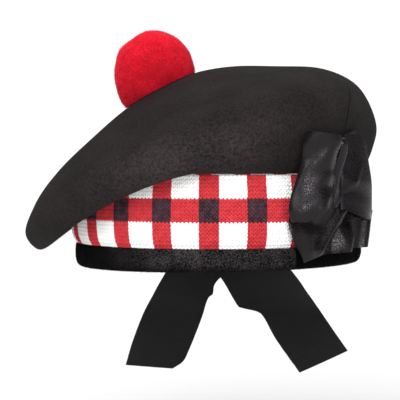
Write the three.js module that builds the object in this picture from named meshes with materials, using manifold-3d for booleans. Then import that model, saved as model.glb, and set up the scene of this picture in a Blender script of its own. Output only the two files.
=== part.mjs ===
// Balmoral bonnet: a felt crown that droops to the wearer's right, a diced knitted headband with
// a bound rim, a wool toorie on top, a satin bow at the left temple and two ribbon ties behind.
// Millimetres, +Z up. +X is the wearer's left and the wearer looks along -Y.
// The origin is the centre of the head opening, level with the bottom of the rim.
import * as THREE from "three";
import { mergeVertices } from "three/addons/utils/BufferGeometryUtils.js";
import Module from "manifold-3d";

const wasm = await Module();
wasm.setup();

// Driving dimensions
const SEWN_GAP = 0.3;
const STEPS_ROUND = 44;

const HEAD_HALF_WIDTH = 94;
const HEAD_HALF_DEPTH = 101.5;

const BINDING_HEIGHT = 15;
const BINDING_OUTER_WALL = 1.5;
const BINDING_INNER_WALL = 1.2;
const BINDING_FLOOR = 2;
const RIM_SWELL = -5;
const RIM_ROUND_STEPS = 5;

const DICING_ROWS = 3;
const DICING_ROW_HEIGHT = 14.3;
const BAND_WALL = 2.2;
const BAND_FOOT = BINDING_FLOOR + SEWN_GAP;
const BAND_TOP = BINDING_HEIGHT + DICING_ROWS * DICING_ROW_HEIGHT;

const FELT_WALL = 2.2;
const SEAM_Z = BAND_TOP + 0.6;
const CROWN_STEPS = 23;

const TOORIE_RADIUS = 26.3;
const TOORIE_CORE_RADIUS = 23.4;
const TOORIE_LIFT = 11.6;
const TOORIE_LOCKS = 40;
const TOORIE_GAP = 0.4;
const LOCK_RADIUS = 7.6;
const LOCK_LENGTH = 4.2;
const LOCK_SIDES = 6;

const RIBBON_WALL = 1;
const BOW_ANGLE = THREE.MathUtils.degToRad(-47);
const BOW_HEIGHT = 46;
const BOW_WRAP_RADIUS = 103;
const BOW_STAND_OFF = 1;
const BOW_CROWN_STAND_OFF = 10.5;
const BOW_CROWN_FOOT = 52;
const BOW_CROWN_SHOULDER = 86;
const BOW_NECK = 5.75;
const BOW_STEPS_ACROSS = 5;

const KNOT_HALF_WIDTH = 6.2;
const KNOT_TOP_HALF_WIDTH = 5.4;
const KNOT_FOOT = -8.6;
const KNOT_TOP = 31;
const KNOT_DEPTH = 14.6;
const KNOT_BACK = -1.85;

const TIE_REST = 0.55;
const TIE_STEPS = 12;
const TIE_STEPS_ACROSS = 4;
const TIE_FLAT_BELOW = -45;

// The headband's outer face, from its foot to its top: how far it swells from the head's oval.
const BAND_PROFILE = [
  { height: BAND_FOOT, swell: RIM_SWELL },
  { height: BINDING_HEIGHT, swell: RIM_SWELL },
  { height: 21, swell: -1.4 },
  { height: 32, swell: 0 },
  { height: 46, swell: -0.7 },
  { height: BAND_TOP, swell: -2.5 },
];

// The crown's outer face in rings, from the middle of the top to the seam on the headband.
// Each ring is an ellipse. Its taut side is the wearer's left and its slack side the right, and
// droop says how late its height falls from the one to the other on the way round.
const CROWN_RINGS = [
  { name: "inner", slackX: -57, slackZ: 99.8, tautX: -12, tautZ: 121.2, front: 26, back: 26, droop: 1 },
  { name: "middle", slackX: -81, slackZ: 79.2, tautX: 22, tautZ: 125.4, front: 62, back: 62, droop: 1 },
  { name: "brow", slackX: -101, slackZ: 58.8, tautX: 66, tautZ: 124.2, front: 92, back: 94, droop: 1.2 },
  { name: "edge", slackX: -116.5, slackZ: 36, tautX: 89.5, tautZ: 112, front: 110, back: 113, droop: 1.6 },
  { name: "bulge", slackX: -122, slackZ: 18, tautX: 102.6, tautZ: 88, front: 113.5, back: 117, droop: 2.3 },
  { name: "under", slackX: -113, slackZ: 9, tautX: 100, tautZ: 73, front: 109, back: 112, droop: 2.7 },
  { name: "tuck", slackX: -98.5, slackZ: 20, tautX: 96, tautZ: 63, front: 103.8, back: 105, droop: 4 },
  { name: "rise", slackX: -96.5, slackZ: 44, tautX: 94.9, tautZ: 60.6, front: 102.2, back: 103, droop: 4 },
  { name: "turn", slackX: -94.2, slackZ: 58.2, tautX: 93.2, tautZ: 59.2, front: 100.6, back: 101, droop: 1 },
  { name: "seam", slackX: -89.5, slackZ: SEAM_Z, tautX: 89.5, tautZ: SEAM_Z, front: 97, back: 97, droop: 1 },
];
const CROWN_POLE = new THREE.Vector3(-34.5, 0, 113.2);

// The bow's loops. Side is the way round the hat from the knot, lift how high the middle of the
// ribbon leaves the knot and lean how far its upper edge is turned back over the knot.
const BOW_LOOPS = [
  { name: "bow_loop_front", side: -1, reach: 34.5, lift: 11, neck: 36, mouth: 54, lean: 6, puff: 5.4 },
  { name: "bow_loop_back", side: 1, reach: 38, lift: 11, neck: 36, mouth: 52, lean: 5, puff: 5.2 },
];
const BOW_LOOP_OUT = 9.6;
const BOW_LOOP_FLATTENING = 0.45;
const BOW_LOOP_STEPS = 20;

// The bow's tails, from the knot to the cut end: the two edges across and up from the knot, and
// how far the ribbon stands off the hat there.
const BOW_TAILS = [
  {
    name: "bow_tail_front",
    stations: [
      { leftU: -11, leftV: -8.6, leftOut: 2.6, rightU: 2.5, rightV: -8.6, rightOut: 2.6 },
      { leftU: -29, leftV: -18, leftOut: 2.4, rightU: 1, rightV: -19, rightOut: 2.6 },
      { leftU: -29, leftV: -30, leftOut: 2.6, rightU: -4, rightV: -28, rightOut: 3 },
      { leftU: -23, leftV: -42, leftOut: 3, rightU: -7, rightV: -36, rightOut: 3.2 },
    ],
  },
  {
    name: "bow_tail_back",
    stations: [
      { leftU: -2.5, leftV: -8.4, leftOut: 0.5, rightU: 11, rightV: -8, rightOut: 0.7 },
      { leftU: -3, leftV: -19, leftOut: 0.4, rightU: 36, rightV: -18, rightOut: 2.6 },
      { leftU: -6, leftV: -29, leftOut: 0.4, rightU: 41, rightV: -25, rightOut: 4.6 },
      { leftU: -9, leftV: -37, leftOut: 0.4, rightU: 42, rightV: -32, rightOut: 6 },
    ],
  },
];
const BOW_TAIL_STEPS = 8;
const BOW_TAIL_PLEAT = 0.5;

// The ties, from the cut end on the binding to the free end, seen from the front: the two edges.
const TIES = [
  {
    name: "tie_right",
    layer: 0,
    stations: [
      { leftX: -17.5, leftZ: 13.6, rightX: 20.5, rightZ: 12.6 },
      { leftX: -25.5, leftZ: 2, rightX: 12.5, rightZ: -8 },
      { leftX: -38, leftZ: -18, rightX: 1.2, rightZ: -24 },
      { leftX: -50.5, leftZ: -42, rightX: -9.5, rightZ: -46 },
      { leftX: -58.6, leftZ: -63, rightX: -18.4, rightZ: -69 },
      { leftX: -62.5, leftZ: -78, rightX: -29.5, rightZ: -80.5 },
    ],
  },
  {
    name: "tie_left",
    layer: 1,
    stations: [
      { leftX: -19, leftZ: 9.6, rightX: 26.5, rightZ: 13.4 },
      { leftX: -8, leftZ: -4, rightX: 41, rightZ: 2 },
      { leftX: 4.5, leftZ: -21, rightX: 56.5, rightZ: -17 },
      { leftX: 14.5, leftZ: -37.6, rightX: 66, rightZ: -31 },
      { leftX: 32.5, leftZ: -43, rightX: 73.5, rightZ: -42 },
      { leftX: 44, leftZ: -63, rightX: 83, rightZ: -56 },
      { leftX: 58.6, leftZ: -83.7, rightX: 91.6, rightZ: -68.4 },
    ],
  },
];

// Finishes
const finish = (color, roughness) => new THREE.MeshStandardMaterial({ color, roughness, metalness: 0 });
const BLACK_FELT = finish(0x2c2a28, 0.95);
const DICED_KNIT = finish(0xd8343c, 0.9);
const BLACK_VELVET = finish(0x0e0d0e, 0.9);
const RED_WOOL = finish(0xd8141f, 0.95);
const BLACK_SATIN = finish(0x1d1c1f, 0.4);
const BLACK_RIBBON = finish(0x1b1b1c, 0.7);

// A point on the head's oval, grown outwards by swell.
function ovalPoint(angle, swell, height) {
  return new THREE.Vector3(
    (HEAD_HALF_WIDTH + swell) * Math.cos(angle),
    (HEAD_HALF_DEPTH + swell) * Math.sin(angle),
    height,
  );
}

// A closed mesh from points and triangles, turned so that its faces point out.
function closedGeometry(points, triangles) {
  let volume = 0;
  for (const [a, b, c] of triangles) {
    volume += points[a].dot(new THREE.Vector3().crossVectors(points[b], points[c]));
  }
  const outward = volume < 0 ? triangles.map(([a, b, c]) => [a, c, b]) : triangles;
  return new THREE.BufferGeometry().setFromPoints(points).setIndex(outward.flat());
}

// Two triangles for each cell between two closed rows of points, given where each row starts.
function cellsBetween(rowStart, nextStart, count) {
  const cells = [];
  for (let i = 0; i < count; i++) {
    const j = (i + 1) % count;
    cells.push([rowStart + i, rowStart + j, nextStart + j], [rowStart + i, nextStart + j, nextStart + i]);
  }
  return cells;
}

// A ring-shaped solid: closed sections that follow each other round and meet again.
function ringSolid(sections) {
  const count = sections[0].length;
  const triangles = sections.flatMap((_, i) =>
    cellsBetween(i * count, ((i + 1) % sections.length) * count, count),
  );
  return closedGeometry(sections.flat(), triangles);
}

// A solid of stacked rings that closes in a point at each end.
function stackedSolid(firstPole, rings, lastPole) {
  const count = rings[0].length;
  const points = [firstPole, ...rings.flat(), lastPole];
  const triangles = [];
  for (let i = 0; i + 1 < rings.length; i++) {
    triangles.push(...cellsBetween(1 + i * count, 1 + (i + 1) * count, count));
  }
  const lastRing = 1 + (rings.length - 1) * count;
  for (let i = 0; i < count; i++) {
    const j = (i + 1) % count;
    triangles.push([0, 1 + j, 1 + i], [points.length - 1, lastRing + i, lastRing + j]);
  }
  return closedGeometry(points, triangles);
}

// A strip of cloth: the same number of points on its two faces in each section, closed all round.
function stripSolid(sections) {
  const across = sections[0].face.length;
  const loops = sections.map(({ face, back }) => [...face, ...[...back].reverse()]);
  const count = 2 * across;
  const triangles = [];
  for (let i = 0; i + 1 < loops.length; i++) {
    triangles.push(...cellsBetween(i * count, (i + 1) * count, count));
  }
  const last = (loops.length - 1) * count;
  for (let i = 0; i + 1 < across; i++) {
    const j = count - 1 - i;
    triangles.push([i, j, j - 1], [i, j - 1, i + 1]);
    triangles.push([last + i, last + j - 1, last + j], [last + i, last + i + 1, last + j - 1]);
  }
  return closedGeometry(loops.flat(), triangles);
}

// The angles of the sections that go once round the hat.
function anglesRound() {
  return Array.from({ length: STEPS_ROUND }, (_, i) => (i / STEPS_ROUND) * 2 * Math.PI);
}

// The knitted headband, a wall that swells out above the binding.
function headband() {
  const inner = BAND_PROFILE.map(({ height, swell }) => ({ height, swell: swell - BAND_WALL }));
  const section = [...BAND_PROFILE, ...inner.reverse()];
  return ringSolid(anglesRound().map((a) => section.map(({ swell, height }) => ovalPoint(a, swell, height))));
}

// The rim's binding, folded round the foot of the headband.
function binding() {
  const channelOut = RIM_SWELL + SEWN_GAP;
  const channelIn = RIM_SWELL - BAND_WALL - SEWN_GAP;
  const outer = channelOut + BINDING_OUTER_WALL;
  const inner = channelIn - BINDING_INNER_WALL;
  const roundRadius = (outer - inner) / 2;
  const section = new THREE.Path();
  section.moveTo(channelOut, BINDING_HEIGHT);
  section.lineTo(outer, BINDING_HEIGHT);
  section.lineTo(outer, roundRadius);
  section.absarc((outer + inner) / 2, roundRadius, roundRadius, 0, -Math.PI, true);
  section.lineTo(inner, BINDING_HEIGHT);
  section.lineTo(channelIn, BINDING_HEIGHT);
  section.lineTo(channelIn, BINDING_FLOOR);
  section.lineTo(channelOut, BINDING_FLOOR);
  const outline = section.getPoints(RIM_ROUND_STEPS);
  return ringSolid(anglesRound().map((a) => outline.map((p) => ovalPoint(a, p.x, p.y))));
}

// A crown ring's point at an angle round the head.
function crownRingPoint(ring, angle) {
  const fall = Math.pow((1 - Math.cos(angle)) / 2, ring.droop);
  const reach = Math.sin(angle) < 0 ? ring.front : ring.back;
  return new THREE.Vector3(
    (ring.tautX + ring.slackX) / 2 + ((ring.tautX - ring.slackX) / 2) * Math.cos(angle),
    reach * Math.sin(angle),
    ring.tautZ + (ring.slackZ - ring.tautZ) * fall,
  );
}

// The crown's face as rings from the pole outwards, moved along its normals by offset.
function crownFace(offset) {
  const profiles = anglesRound().map((angle) => {
    const knots = [CROWN_POLE, ...CROWN_RINGS.map((ring) => crownRingPoint(ring, angle))];
    return new THREE.CatmullRomCurve3(knots, false, "centripetal").getPoints(CROWN_STEPS);
  });
  const rings = [];
  for (let step = 1; step <= CROWN_STEPS; step++) {
    rings.push(
      profiles.map((profile, i) => {
        const before = profiles[(i + STEPS_ROUND - 1) % STEPS_ROUND][step];
        const after = profiles[(i + 1) % STEPS_ROUND][step];
        const outwards = profile[Math.min(step + 1, CROWN_STEPS)].clone().sub(profile[step - 1]);
        const normal = outwards.cross(after.clone().sub(before)).normalize();
        return profile[step].clone().addScaledVector(normal, offset);
      }),
    );
  }
  const pole = CROWN_POLE.clone().addScaledVector(crownPoleNormal(profiles), offset);
  return { pole, rings };
}

// The direction straight out of the middle of the crown's top.
function crownPoleNormal(profiles) {
  const quarter = STEPS_ROUND / 4;
  const sideways = profiles[0][1].clone().sub(profiles[2 * quarter][1]);
  const backwards = profiles[quarter][1].clone().sub(profiles[3 * quarter][1]);
  return sideways.cross(backwards).normalize();
}

// The crown: a hollow felt wall from the top, over the edge and back in to the headband.
function crown() {
  const outside = crownFace(0);
  const inside = crownFace(-FELT_WALL);
  return stackedSolid(outside.pole, [...outside.rings, ...inside.rings.reverse()], inside.pole);
}

// The space that the crown takes up, grown by the toorie's gap, for trimming the toorie.
function crownBlank() {
  const { pole, rings } = crownFace(TOORIE_GAP);
  return stackedSolid(pole, rings, new THREE.Vector3(0, 0, SEAM_Z));
}

// A closed three.js mesh as a solid that can be joined and cut.
function toSolid(geometry) {
  const bare = geometry.clone();
  bare.deleteAttribute("normal");
  bare.deleteAttribute("uv");
  const merged = mergeVertices(bare, 1e-3);
  return new wasm.Manifold(
    new wasm.Mesh({
      numProp: 3,
      vertProperties: merged.attributes.position.array,
      triVerts: new Uint32Array(merged.index.array),
    }),
  );
}

// A joined or cut solid as three.js geometry again.
function toGeometry(solid) {
  const { vertProperties, triVerts } = solid.getMesh();
  return new THREE.BufferGeometry()
    .setAttribute("position", new THREE.BufferAttribute(vertProperties, 3))
    .setIndex(new THREE.BufferAttribute(triVerts, 1));
}

// One blunt lock of wool along +Z, from inside the core to the toorie's outer face.
function woolLock() {
  const root = TOORIE_CORE_RADIUS * 0.8;
  const profile = [
    new THREE.Vector2(0, root),
    new THREE.Vector2(LOCK_RADIUS, TOORIE_RADIUS - LOCK_LENGTH),
    new THREE.Vector2(LOCK_RADIUS * 0.62, TOORIE_RADIUS - LOCK_LENGTH * 0.3),
    new THREE.Vector2(0, TOORIE_RADIUS),
  ];
  const lock = new THREE.LatheGeometry(profile, LOCK_SIDES);
  return lock.rotateX(Math.PI / 2);
}

// The toorie: locks of wool fused to a round core, trimmed where it sits on the crown.
function toorie() {
  const axis = crownFace(1).pole.sub(CROWN_POLE).normalize();
  const centre = CROWN_POLE.clone().addScaledVector(axis, TOORIE_LIFT);
  const upright = new THREE.Quaternion().setFromUnitVectors(new THREE.Vector3(0, 0, 1), axis);
  const goldenAngle = Math.PI * (3 - Math.sqrt(5));
  let ball = toSolid(new THREE.SphereGeometry(TOORIE_CORE_RADIUS, 12, 8));
  for (let i = 0; i < TOORIE_LOCKS; i++) {
    const polar = Math.acos(1 - (2 * (i + 0.5)) / TOORIE_LOCKS);
    const direction = new THREE.Vector3().setFromSphericalCoords(1, polar, i * goldenAngle);
    const turn = new THREE.Quaternion().setFromUnitVectors(new THREE.Vector3(0, 0, 1), direction);
    ball = ball.add(toSolid(woolLock().applyQuaternion(turn)));
  }
  const seated = toGeometry(ball).applyQuaternion(upright).translate(centre.x, centre.y, centre.z);
  return toGeometry(toSolid(seated).subtract(toSolid(crownBlank())));
}

// How far a height above the knot is on the way from the headband up to the crown's bulge, 0 to 1.
function riseToBulge(up) {
  return THREE.MathUtils.smoothstep(BOW_HEIGHT + up, BOW_CROWN_FOOT, BOW_CROWN_SHOULDER);
}

// A point of the bow: across runs round the hat towards the back, up is up, out leaves the hat.
function bowPoint(across, up, out) {
  const swell = BOW_STAND_OFF + BOW_CROWN_STAND_OFF * riseToBulge(up) + out;
  return ovalPoint(BOW_ANGLE + across / BOW_WRAP_RADIUS, swell, BOW_HEIGHT + up);
}

// The evenly spaced places across a ribbon, from -1 at one edge to 1 at the other.
function placesAcross(steps) {
  return Array.from({ length: steps + 1 }, (_, i) => (2 * i) / steps - 1);
}

// A loop of the bow: ribbon that runs out from the knot, turns and comes back behind itself.
function bowLoop({ side, reach, lift, neck, mouth, lean, puff }) {
  const half = (reach - BOW_NECK) / 2;
  const places = placesAcross(BOW_STEPS_ACROSS);
  const sections = [];
  for (let i = 0; i < BOW_LOOP_STEPS; i++) {
    const turn = (i / BOW_LOOP_STEPS) * 2 * Math.PI;
    const share = (1 - Math.cos(turn)) / 2;
    const width = neck + (mouth - neck) * Math.sqrt(share);
    const tilt = THREE.MathUtils.degToRad(lean * share);
    const face = (wall) =>
      places.map((place) => {
        const along = BOW_NECK + half - (half + wall) * Math.cos(turn);
        const beside = (place * width) / 2;
        const up = lift + beside * Math.cos(tilt);
        const fullness = 1 - BOW_LOOP_FLATTENING * riseToBulge(up);
        const out = BOW_LOOP_OUT * fullness + (puff * fullness + wall) * Math.sin(turn);
        return bowPoint(side * (along - beside * Math.sin(tilt)), up, out);
      });
    sections.push([...face(0), ...face(-RIBBON_WALL).reverse()]);
  }
  return ringSolid(sections);
}

// A tail of the bow: ribbon that fans out from under the knot to a cut end, with one soft pleat.
function bowTail({ stations }) {
  const leftEdge = stations.map((s) => new THREE.Vector3(s.leftU, s.leftV, s.leftOut));
  const rightEdge = stations.map((s) => new THREE.Vector3(s.rightU, s.rightV, s.rightOut));
  const left = new THREE.CatmullRomCurve3(leftEdge).getPoints(BOW_TAIL_STEPS);
  const right = new THREE.CatmullRomCurve3(rightEdge).getPoints(BOW_TAIL_STEPS);
  const places = placesAcross(BOW_STEPS_ACROSS);
  const sections = left.map((start, i) => {
    const pleat = (BOW_TAIL_PLEAT * i) / BOW_TAIL_STEPS;
    const face = (wall) =>
      places.map((place) => {
        const { x, y, z } = start.clone().lerp(right[i], (place + 1) / 2);
        return bowPoint(x, y, z + pleat * Math.cos(place * Math.PI) + wall);
      });
    return { face: face(RIBBON_WALL), back: face(0) };
  });
  return stripSolid(sections);
}

// The knot that gathers the bow, an upright roll, narrower at the top, whose back meets the hat.
function bowKnot() {
  const roll = new THREE.SphereGeometry(1, 14, 10);
  const points = roll.attributes.position;
  const squared = (v) => Math.sign(v) * Math.pow(Math.abs(v), 0.7);
  for (let i = 0; i < points.count; i++) {
    const rise = (squared(points.getY(i)) + 1) / 2;
    const halfWidth = THREE.MathUtils.lerp(KNOT_HALF_WIDTH, KNOT_TOP_HALF_WIDTH, rise);
    const across = halfWidth * squared(points.getX(i));
    const out = KNOT_BACK + (KNOT_DEPTH * (squared(points.getZ(i)) + 1)) / 2;
    const { x, y, z } = bowPoint(across, THREE.MathUtils.lerp(KNOT_FOOT, KNOT_TOP, rise), out);
    points.setXYZ(i, x, y, z);
  }
  roll.deleteAttribute("normal");
  roll.deleteAttribute("uv");
  const merged = mergeVertices(roll, 1e-3);
  const corners = Array.from({ length: merged.attributes.position.count }, (_, i) =>
    new THREE.Vector3().fromBufferAttribute(merged.attributes.position, i),
  );
  const triangles = [];
  for (let i = 0; i < merged.index.count; i += 3) {
    triangles.push([merged.index.getX(i), merged.index.getX(i + 1), merged.index.getX(i + 2)]);
  }
  return closedGeometry(corners, triangles);
}

// A point of a tie, seen from the front: it hugs the binding behind, then hangs flat below it.
function tiePoint(x, z, out) {
  const swell = RIM_SWELL + SEWN_GAP + BINDING_OUTER_WALL + TIE_REST + out;
  const depth = HEAD_HALF_DEPTH + swell;
  const hugged = depth * Math.sqrt(1 - Math.min(1, x / (HEAD_HALF_WIDTH + swell)) ** 2);
  const hug = THREE.MathUtils.smoothstep(z, TIE_FLAT_BELOW, 0);
  return new THREE.Vector3(x, THREE.MathUtils.lerp(depth, hugged, hug), z);
}

// A ribbon tie through its stations, with its upper end laid on the back of the binding.
function tie({ layer, stations }) {
  const edge = (x, z) => new THREE.CatmullRomCurve3(stations.map((s) => new THREE.Vector3(s[x], 0, s[z])));
  const left = edge("leftX", "leftZ").getPoints(TIE_STEPS);
  const right = edge("rightX", "rightZ").getPoints(TIE_STEPS);
  const shares = placesAcross(TIE_STEPS_ACROSS).map((place) => (place + 1) / 2);
  const under = layer * (RIBBON_WALL + TIE_REST);
  const sections = left.map((start, i) => {
    const face = (out) =>
      shares.map((share) => {
        const { x, z } = start.clone().lerp(right[i], share);
        return tiePoint(x, z, under + out);
      });
    return { face: face(RIBBON_WALL), back: face(0) };
  });
  return stripSolid(sections);
}

// The bonnet's pieces
function piece(name, geometry, material) {
  const mesh = new THREE.Mesh(geometry, material);
  mesh.name = name;
  return mesh;
}

const bonnet = new THREE.Group();
bonnet.name = "balmoral_bonnet";
bonnet.add(piece("crown", crown(), BLACK_FELT));
bonnet.add(piece("diced_band", headband(), DICED_KNIT));
bonnet.add(piece("edge_binding", binding(), BLACK_VELVET));
bonnet.add(piece("toorie", toorie(), RED_WOOL));
for (const loop of BOW_LOOPS) bonnet.add(piece(loop.name, bowLoop(loop), BLACK_SATIN));
for (const tail of BOW_TAILS) bonnet.add(piece(tail.name, bowTail(tail), BLACK_SATIN));
bonnet.add(piece("bow_knot", bowKnot(), BLACK_SATIN));
for (const ribbon of TIES) bonnet.add(piece(ribbon.name, tie(ribbon), BLACK_RIBBON));

export default bonnet;
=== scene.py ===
"""Looks of a balmoral bonnet: felt crown, diced knitted headband, bound rim, wool toorie, satin bow and ties.

Sizes are in millimetres in the tables and in metres on the meshes. +X is the wearer's left, the wearer looks
along -Y, +Z is up, and the origin is the centre of the head opening, level with the bottom of the rim.
"""

import logging
import math
from dataclasses import dataclass
from enum import Enum, IntEnum
from typing import Any, Mapping, Sequence

import bpy
import numpy as np
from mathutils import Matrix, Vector
from mathutils.bvhtree import BVHTree


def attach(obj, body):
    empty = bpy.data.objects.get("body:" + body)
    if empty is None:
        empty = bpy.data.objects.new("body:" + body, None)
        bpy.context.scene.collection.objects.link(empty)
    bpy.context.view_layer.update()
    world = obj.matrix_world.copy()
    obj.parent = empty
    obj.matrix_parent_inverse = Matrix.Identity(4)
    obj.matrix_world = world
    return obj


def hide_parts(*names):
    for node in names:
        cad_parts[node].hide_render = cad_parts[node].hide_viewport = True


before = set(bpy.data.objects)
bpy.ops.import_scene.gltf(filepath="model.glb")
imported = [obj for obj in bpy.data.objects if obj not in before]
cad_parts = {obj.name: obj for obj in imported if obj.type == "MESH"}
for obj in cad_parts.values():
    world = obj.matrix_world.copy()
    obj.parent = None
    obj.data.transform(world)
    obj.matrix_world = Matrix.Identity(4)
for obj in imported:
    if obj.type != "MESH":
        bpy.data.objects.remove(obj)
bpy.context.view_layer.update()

LOG = logging.getLogger("bonnet")
MM = 0.001
BODY = "root"  # The whole bonnet is one body: cloth and ribbon have no joints.
CRISP_DEG = 60.0  # Edges that bend by more than this are shaded sharp.
SELVEDGE_DRAW = 0.45  # How strongly the points across a ribbon are drawn to its two edges.
RGBA = tuple[float, float, float, float]
Span = tuple[float, float]
Triple = tuple[float, float, float]


def smoothstep(values: Any, low: float, high: float) -> np.ndarray:
    """Rise smoothly from 0 at low to 1 at high.

    Args:
        values: Numbers to place between the two limits.
        low: Where the rise starts.
        high: Where it ends.

    Returns:
        Numbers from 0 to 1, in the shape of values.
    """
    share = np.clip((np.asarray(values, float) - low) / (high - low), 0.0, 1.0)
    return share * share * (3.0 - 2.0 * share)


def smooth_path(knots: np.ndarray, shares: np.ndarray) -> np.ndarray:
    """Follow a smooth centripetal curve through knots.

    Args:
        knots: Points to pass through, any leading axes, then points, then coordinates.
        shares: Places along the curve, 0 at the first knot and 1 at the last, even steps from knot to knot.

    Returns:
        Points with the same leading axes, one for each share.
    """
    before = 2.0 * knots[..., :1, :] - knots[..., 1:2, :]
    after = 2.0 * knots[..., -1:, :] - knots[..., -2:-1, :]
    padded = np.concatenate([before, knots, after], axis=-2)
    spans = np.sqrt(np.linalg.norm(np.diff(padded, axis=-2), axis=-1))[..., None]
    place = np.asarray(shares) * (knots.shape[-2] - 1)
    first = np.minimum(place.astype(int), knots.shape[-2] - 2)
    t = (place - first)[:, None]
    p0, p1, p2, p3 = (padded[..., first + k, :] for k in range(4))
    d0, d1, d2 = (spans[..., first + k, :] for k in range(3))
    leave = ((p1 - p0) / d0 - (p2 - p0) / (d0 + d1) + (p2 - p1) / d1) * d1
    arrive = ((p2 - p1) / d1 - (p3 - p1) / (d1 + d2) + (p3 - p2) / d2) * d1
    t2, t3 = t * t, t * t * t
    return (2 * t3 - 3 * t2 + 1) * p1 + (t3 - 2 * t2 + t) * leave + (3 * t2 - 2 * t3) * p2 + (t3 - t2) * arrive


def unit(vectors: np.ndarray) -> np.ndarray:
    """Scale vectors to length one."""
    return vectors / np.maximum(np.linalg.norm(vectors, axis=-1, keepdims=True), 1e-9)


def ribbon_places(count: int) -> np.ndarray:
    """Places across a ribbon from -1 to 1, closer together at the two selvedges."""
    even = np.linspace(-1.0, 1.0, count)
    return np.sin(even * math.pi / 2) * SELVEDGE_DRAW + even * (1 - SELVEDGE_DRAW)


def flat_grid(along: np.ndarray, across: np.ndarray) -> np.ndarray:
    """Places on the flat cloth, rows by columns by 2, from places along and across it."""
    return np.stack(np.meshgrid(along, across, indexing="ij"), axis=-1)


def ribbon_flat(along: np.ndarray, place: np.ndarray, width: float) -> np.ndarray:
    """Places of a two-faced ribbon on the flat cloth in millimetres, from its width in metres."""
    return flat_grid(along, np.concatenate([place, place[::-1], place[:1]]) * width / MM / 2)


@dataclass(frozen=True)
class Ripple:
    """An even wave.

    Attributes:
        depth: Height of its crests.
        pace: Radians for each unit.
        phase: Radians at its start.
    """

    depth: float
    pace: float
    phase: float

    def at(self, values: np.ndarray) -> np.ndarray:
        """Height of the wave at values."""
        return self.depth * np.cos(values * self.pace + self.phase)


class Ends(Enum):
    """How the first and the last row of a skin are closed."""

    MEET = "the last row meets the first"
    TIPS = "a point closes each end"
    CAPS = "each end row is closed between its own two faces"


@dataclass
class Skin:
    """A closed surface of rows of points, each row a loop.

    Attributes:
        grid: Points in millimetres, rows by columns by 3.
        flat: Where each point lies on the flat cloth in millimetres, with one more column, and one more row where
            the rows meet.
        ends: How the rows are closed.
        tips: The two points that close the ends, where ends is TIPS.
        tones: Material number of each cell, or None where there is one material.
    """

    grid: np.ndarray
    flat: np.ndarray
    ends: Ends
    tips: tuple[np.ndarray, np.ndarray] | None = None
    tones: np.ndarray | None = None

    def faces(self) -> tuple[list[list[int]], list[np.ndarray]]:
        """Join the points.

        Returns:
            The corners of each face, and where those corners lie on the flat cloth.
        """
        rows, columns = self.grid.shape[:2]
        spans = rows if self.ends is Ends.MEET else rows - 1
        a, b = (x.ravel() for x in np.indices((spans, columns)))
        steps = ((0, 0), (0, 1), (1, 1), (1, 0))
        corners = np.stack([(a + i) % rows * columns + (b + j) % columns for i, j in steps], axis=1).tolist()
        flats = list(np.stack([self.flat[a + i, b + j] for i, j in steps], axis=1))
        last = (rows - 1) * columns
        if self.ends is Ends.TIPS:
            for j in range(columns):
                k = (j + 1) % columns
                corners += [[rows * columns, k, j], [rows * columns + 1, last + j, last + k]]
                flats += [self.flat[[0, 0, 0], [j, j + 1, j]], self.flat[[-1, -1, -1], [j, j, j + 1]]]
        if self.ends is Ends.CAPS:
            for j in range(columns // 2 - 1):
                k = columns - 1 - j
                corners += [[j, k, k - 1, j + 1], [last + j, last + j + 1, last + k - 1, last + k]]
                flats += [self.flat[[0] * 4, [j, k, k - 1, j + 1]], self.flat[[-1] * 4, [j, j + 1, k - 1, k]]]
        return corners, flats

    def build(self, name: str, materials: Sequence[bpy.types.Material]) -> bpy.types.Object:
        """Make the skin an object at the origin, with its faces pointing out.

        Args:
            name: Name of the object.
            materials: Materials, in the order of the tones.

        Returns:
            The new object.
        """
        points = self.grid.reshape(-1, 3)
        if self.tips is not None:
            points = np.vstack([points, *self.tips])
        corners, flats = self.faces()
        fans = np.array([(face[0], *face[i : i + 2]) for face in corners for i in range(1, len(face) - 1)])
        a, b, c = (points[fans[:, k]] for k in range(3))
        if np.sum(a * np.cross(b, c)) < 0:
            corners = [face[::-1] for face in corners]
            flats = [flat[::-1] for flat in flats]
        mesh = bpy.data.meshes.new(name)
        mesh.from_pydata((points * MM).tolist(), [], corners)
        layer = mesh.uv_layers.new(name="flat")
        layer.data.foreach_set("uv", (np.concatenate(flats) * MM).ravel())
        for material in materials:
            mesh.materials.append(material)
        if self.tones is not None:
            numbers = np.zeros(len(corners), np.int32)
            numbers[: self.tones.size] = self.tones.ravel()
            mesh.polygons.foreach_set("material_index", numbers)
        mesh.shade_smooth()
        mesh.set_sharp_from_angle(angle=math.radians(CRISP_DEG))
        return new_object(name, mesh)


def new_object(name: str, mesh: bpy.types.Mesh) -> bpy.types.Object:
    """Put a mesh in the scene under a name, at the origin."""
    made = bpy.data.objects.new(name, mesh)
    bpy.context.scene.collection.objects.link(made)
    return made


def mark_points(mesh: bpy.types.Mesh, name: str, kind: str, values: np.ndarray) -> None:
    """Keep a value for each point of a mesh.

    Args:
        mesh: The mesh.
        name: Name of the new attribute.
        kind: Its type: FLOAT, INT or FLOAT_VECTOR.
        values: The values, in the order of the points.
    """
    data = mesh.attributes.new(name, kind, "POINT").data
    field = "vector" if kind == "FLOAT_VECTOR" else "value"
    data.foreach_set(field, np.asarray(values, np.int32 if kind == "INT" else np.float32).ravel())


def two_faced(front: np.ndarray, back: np.ndarray) -> np.ndarray:
    """Turn two faces of a ribbon, rows by places, into rows that run along one face and back along the other."""
    return np.concatenate([front, back[:, ::-1]], axis=1)


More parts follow.
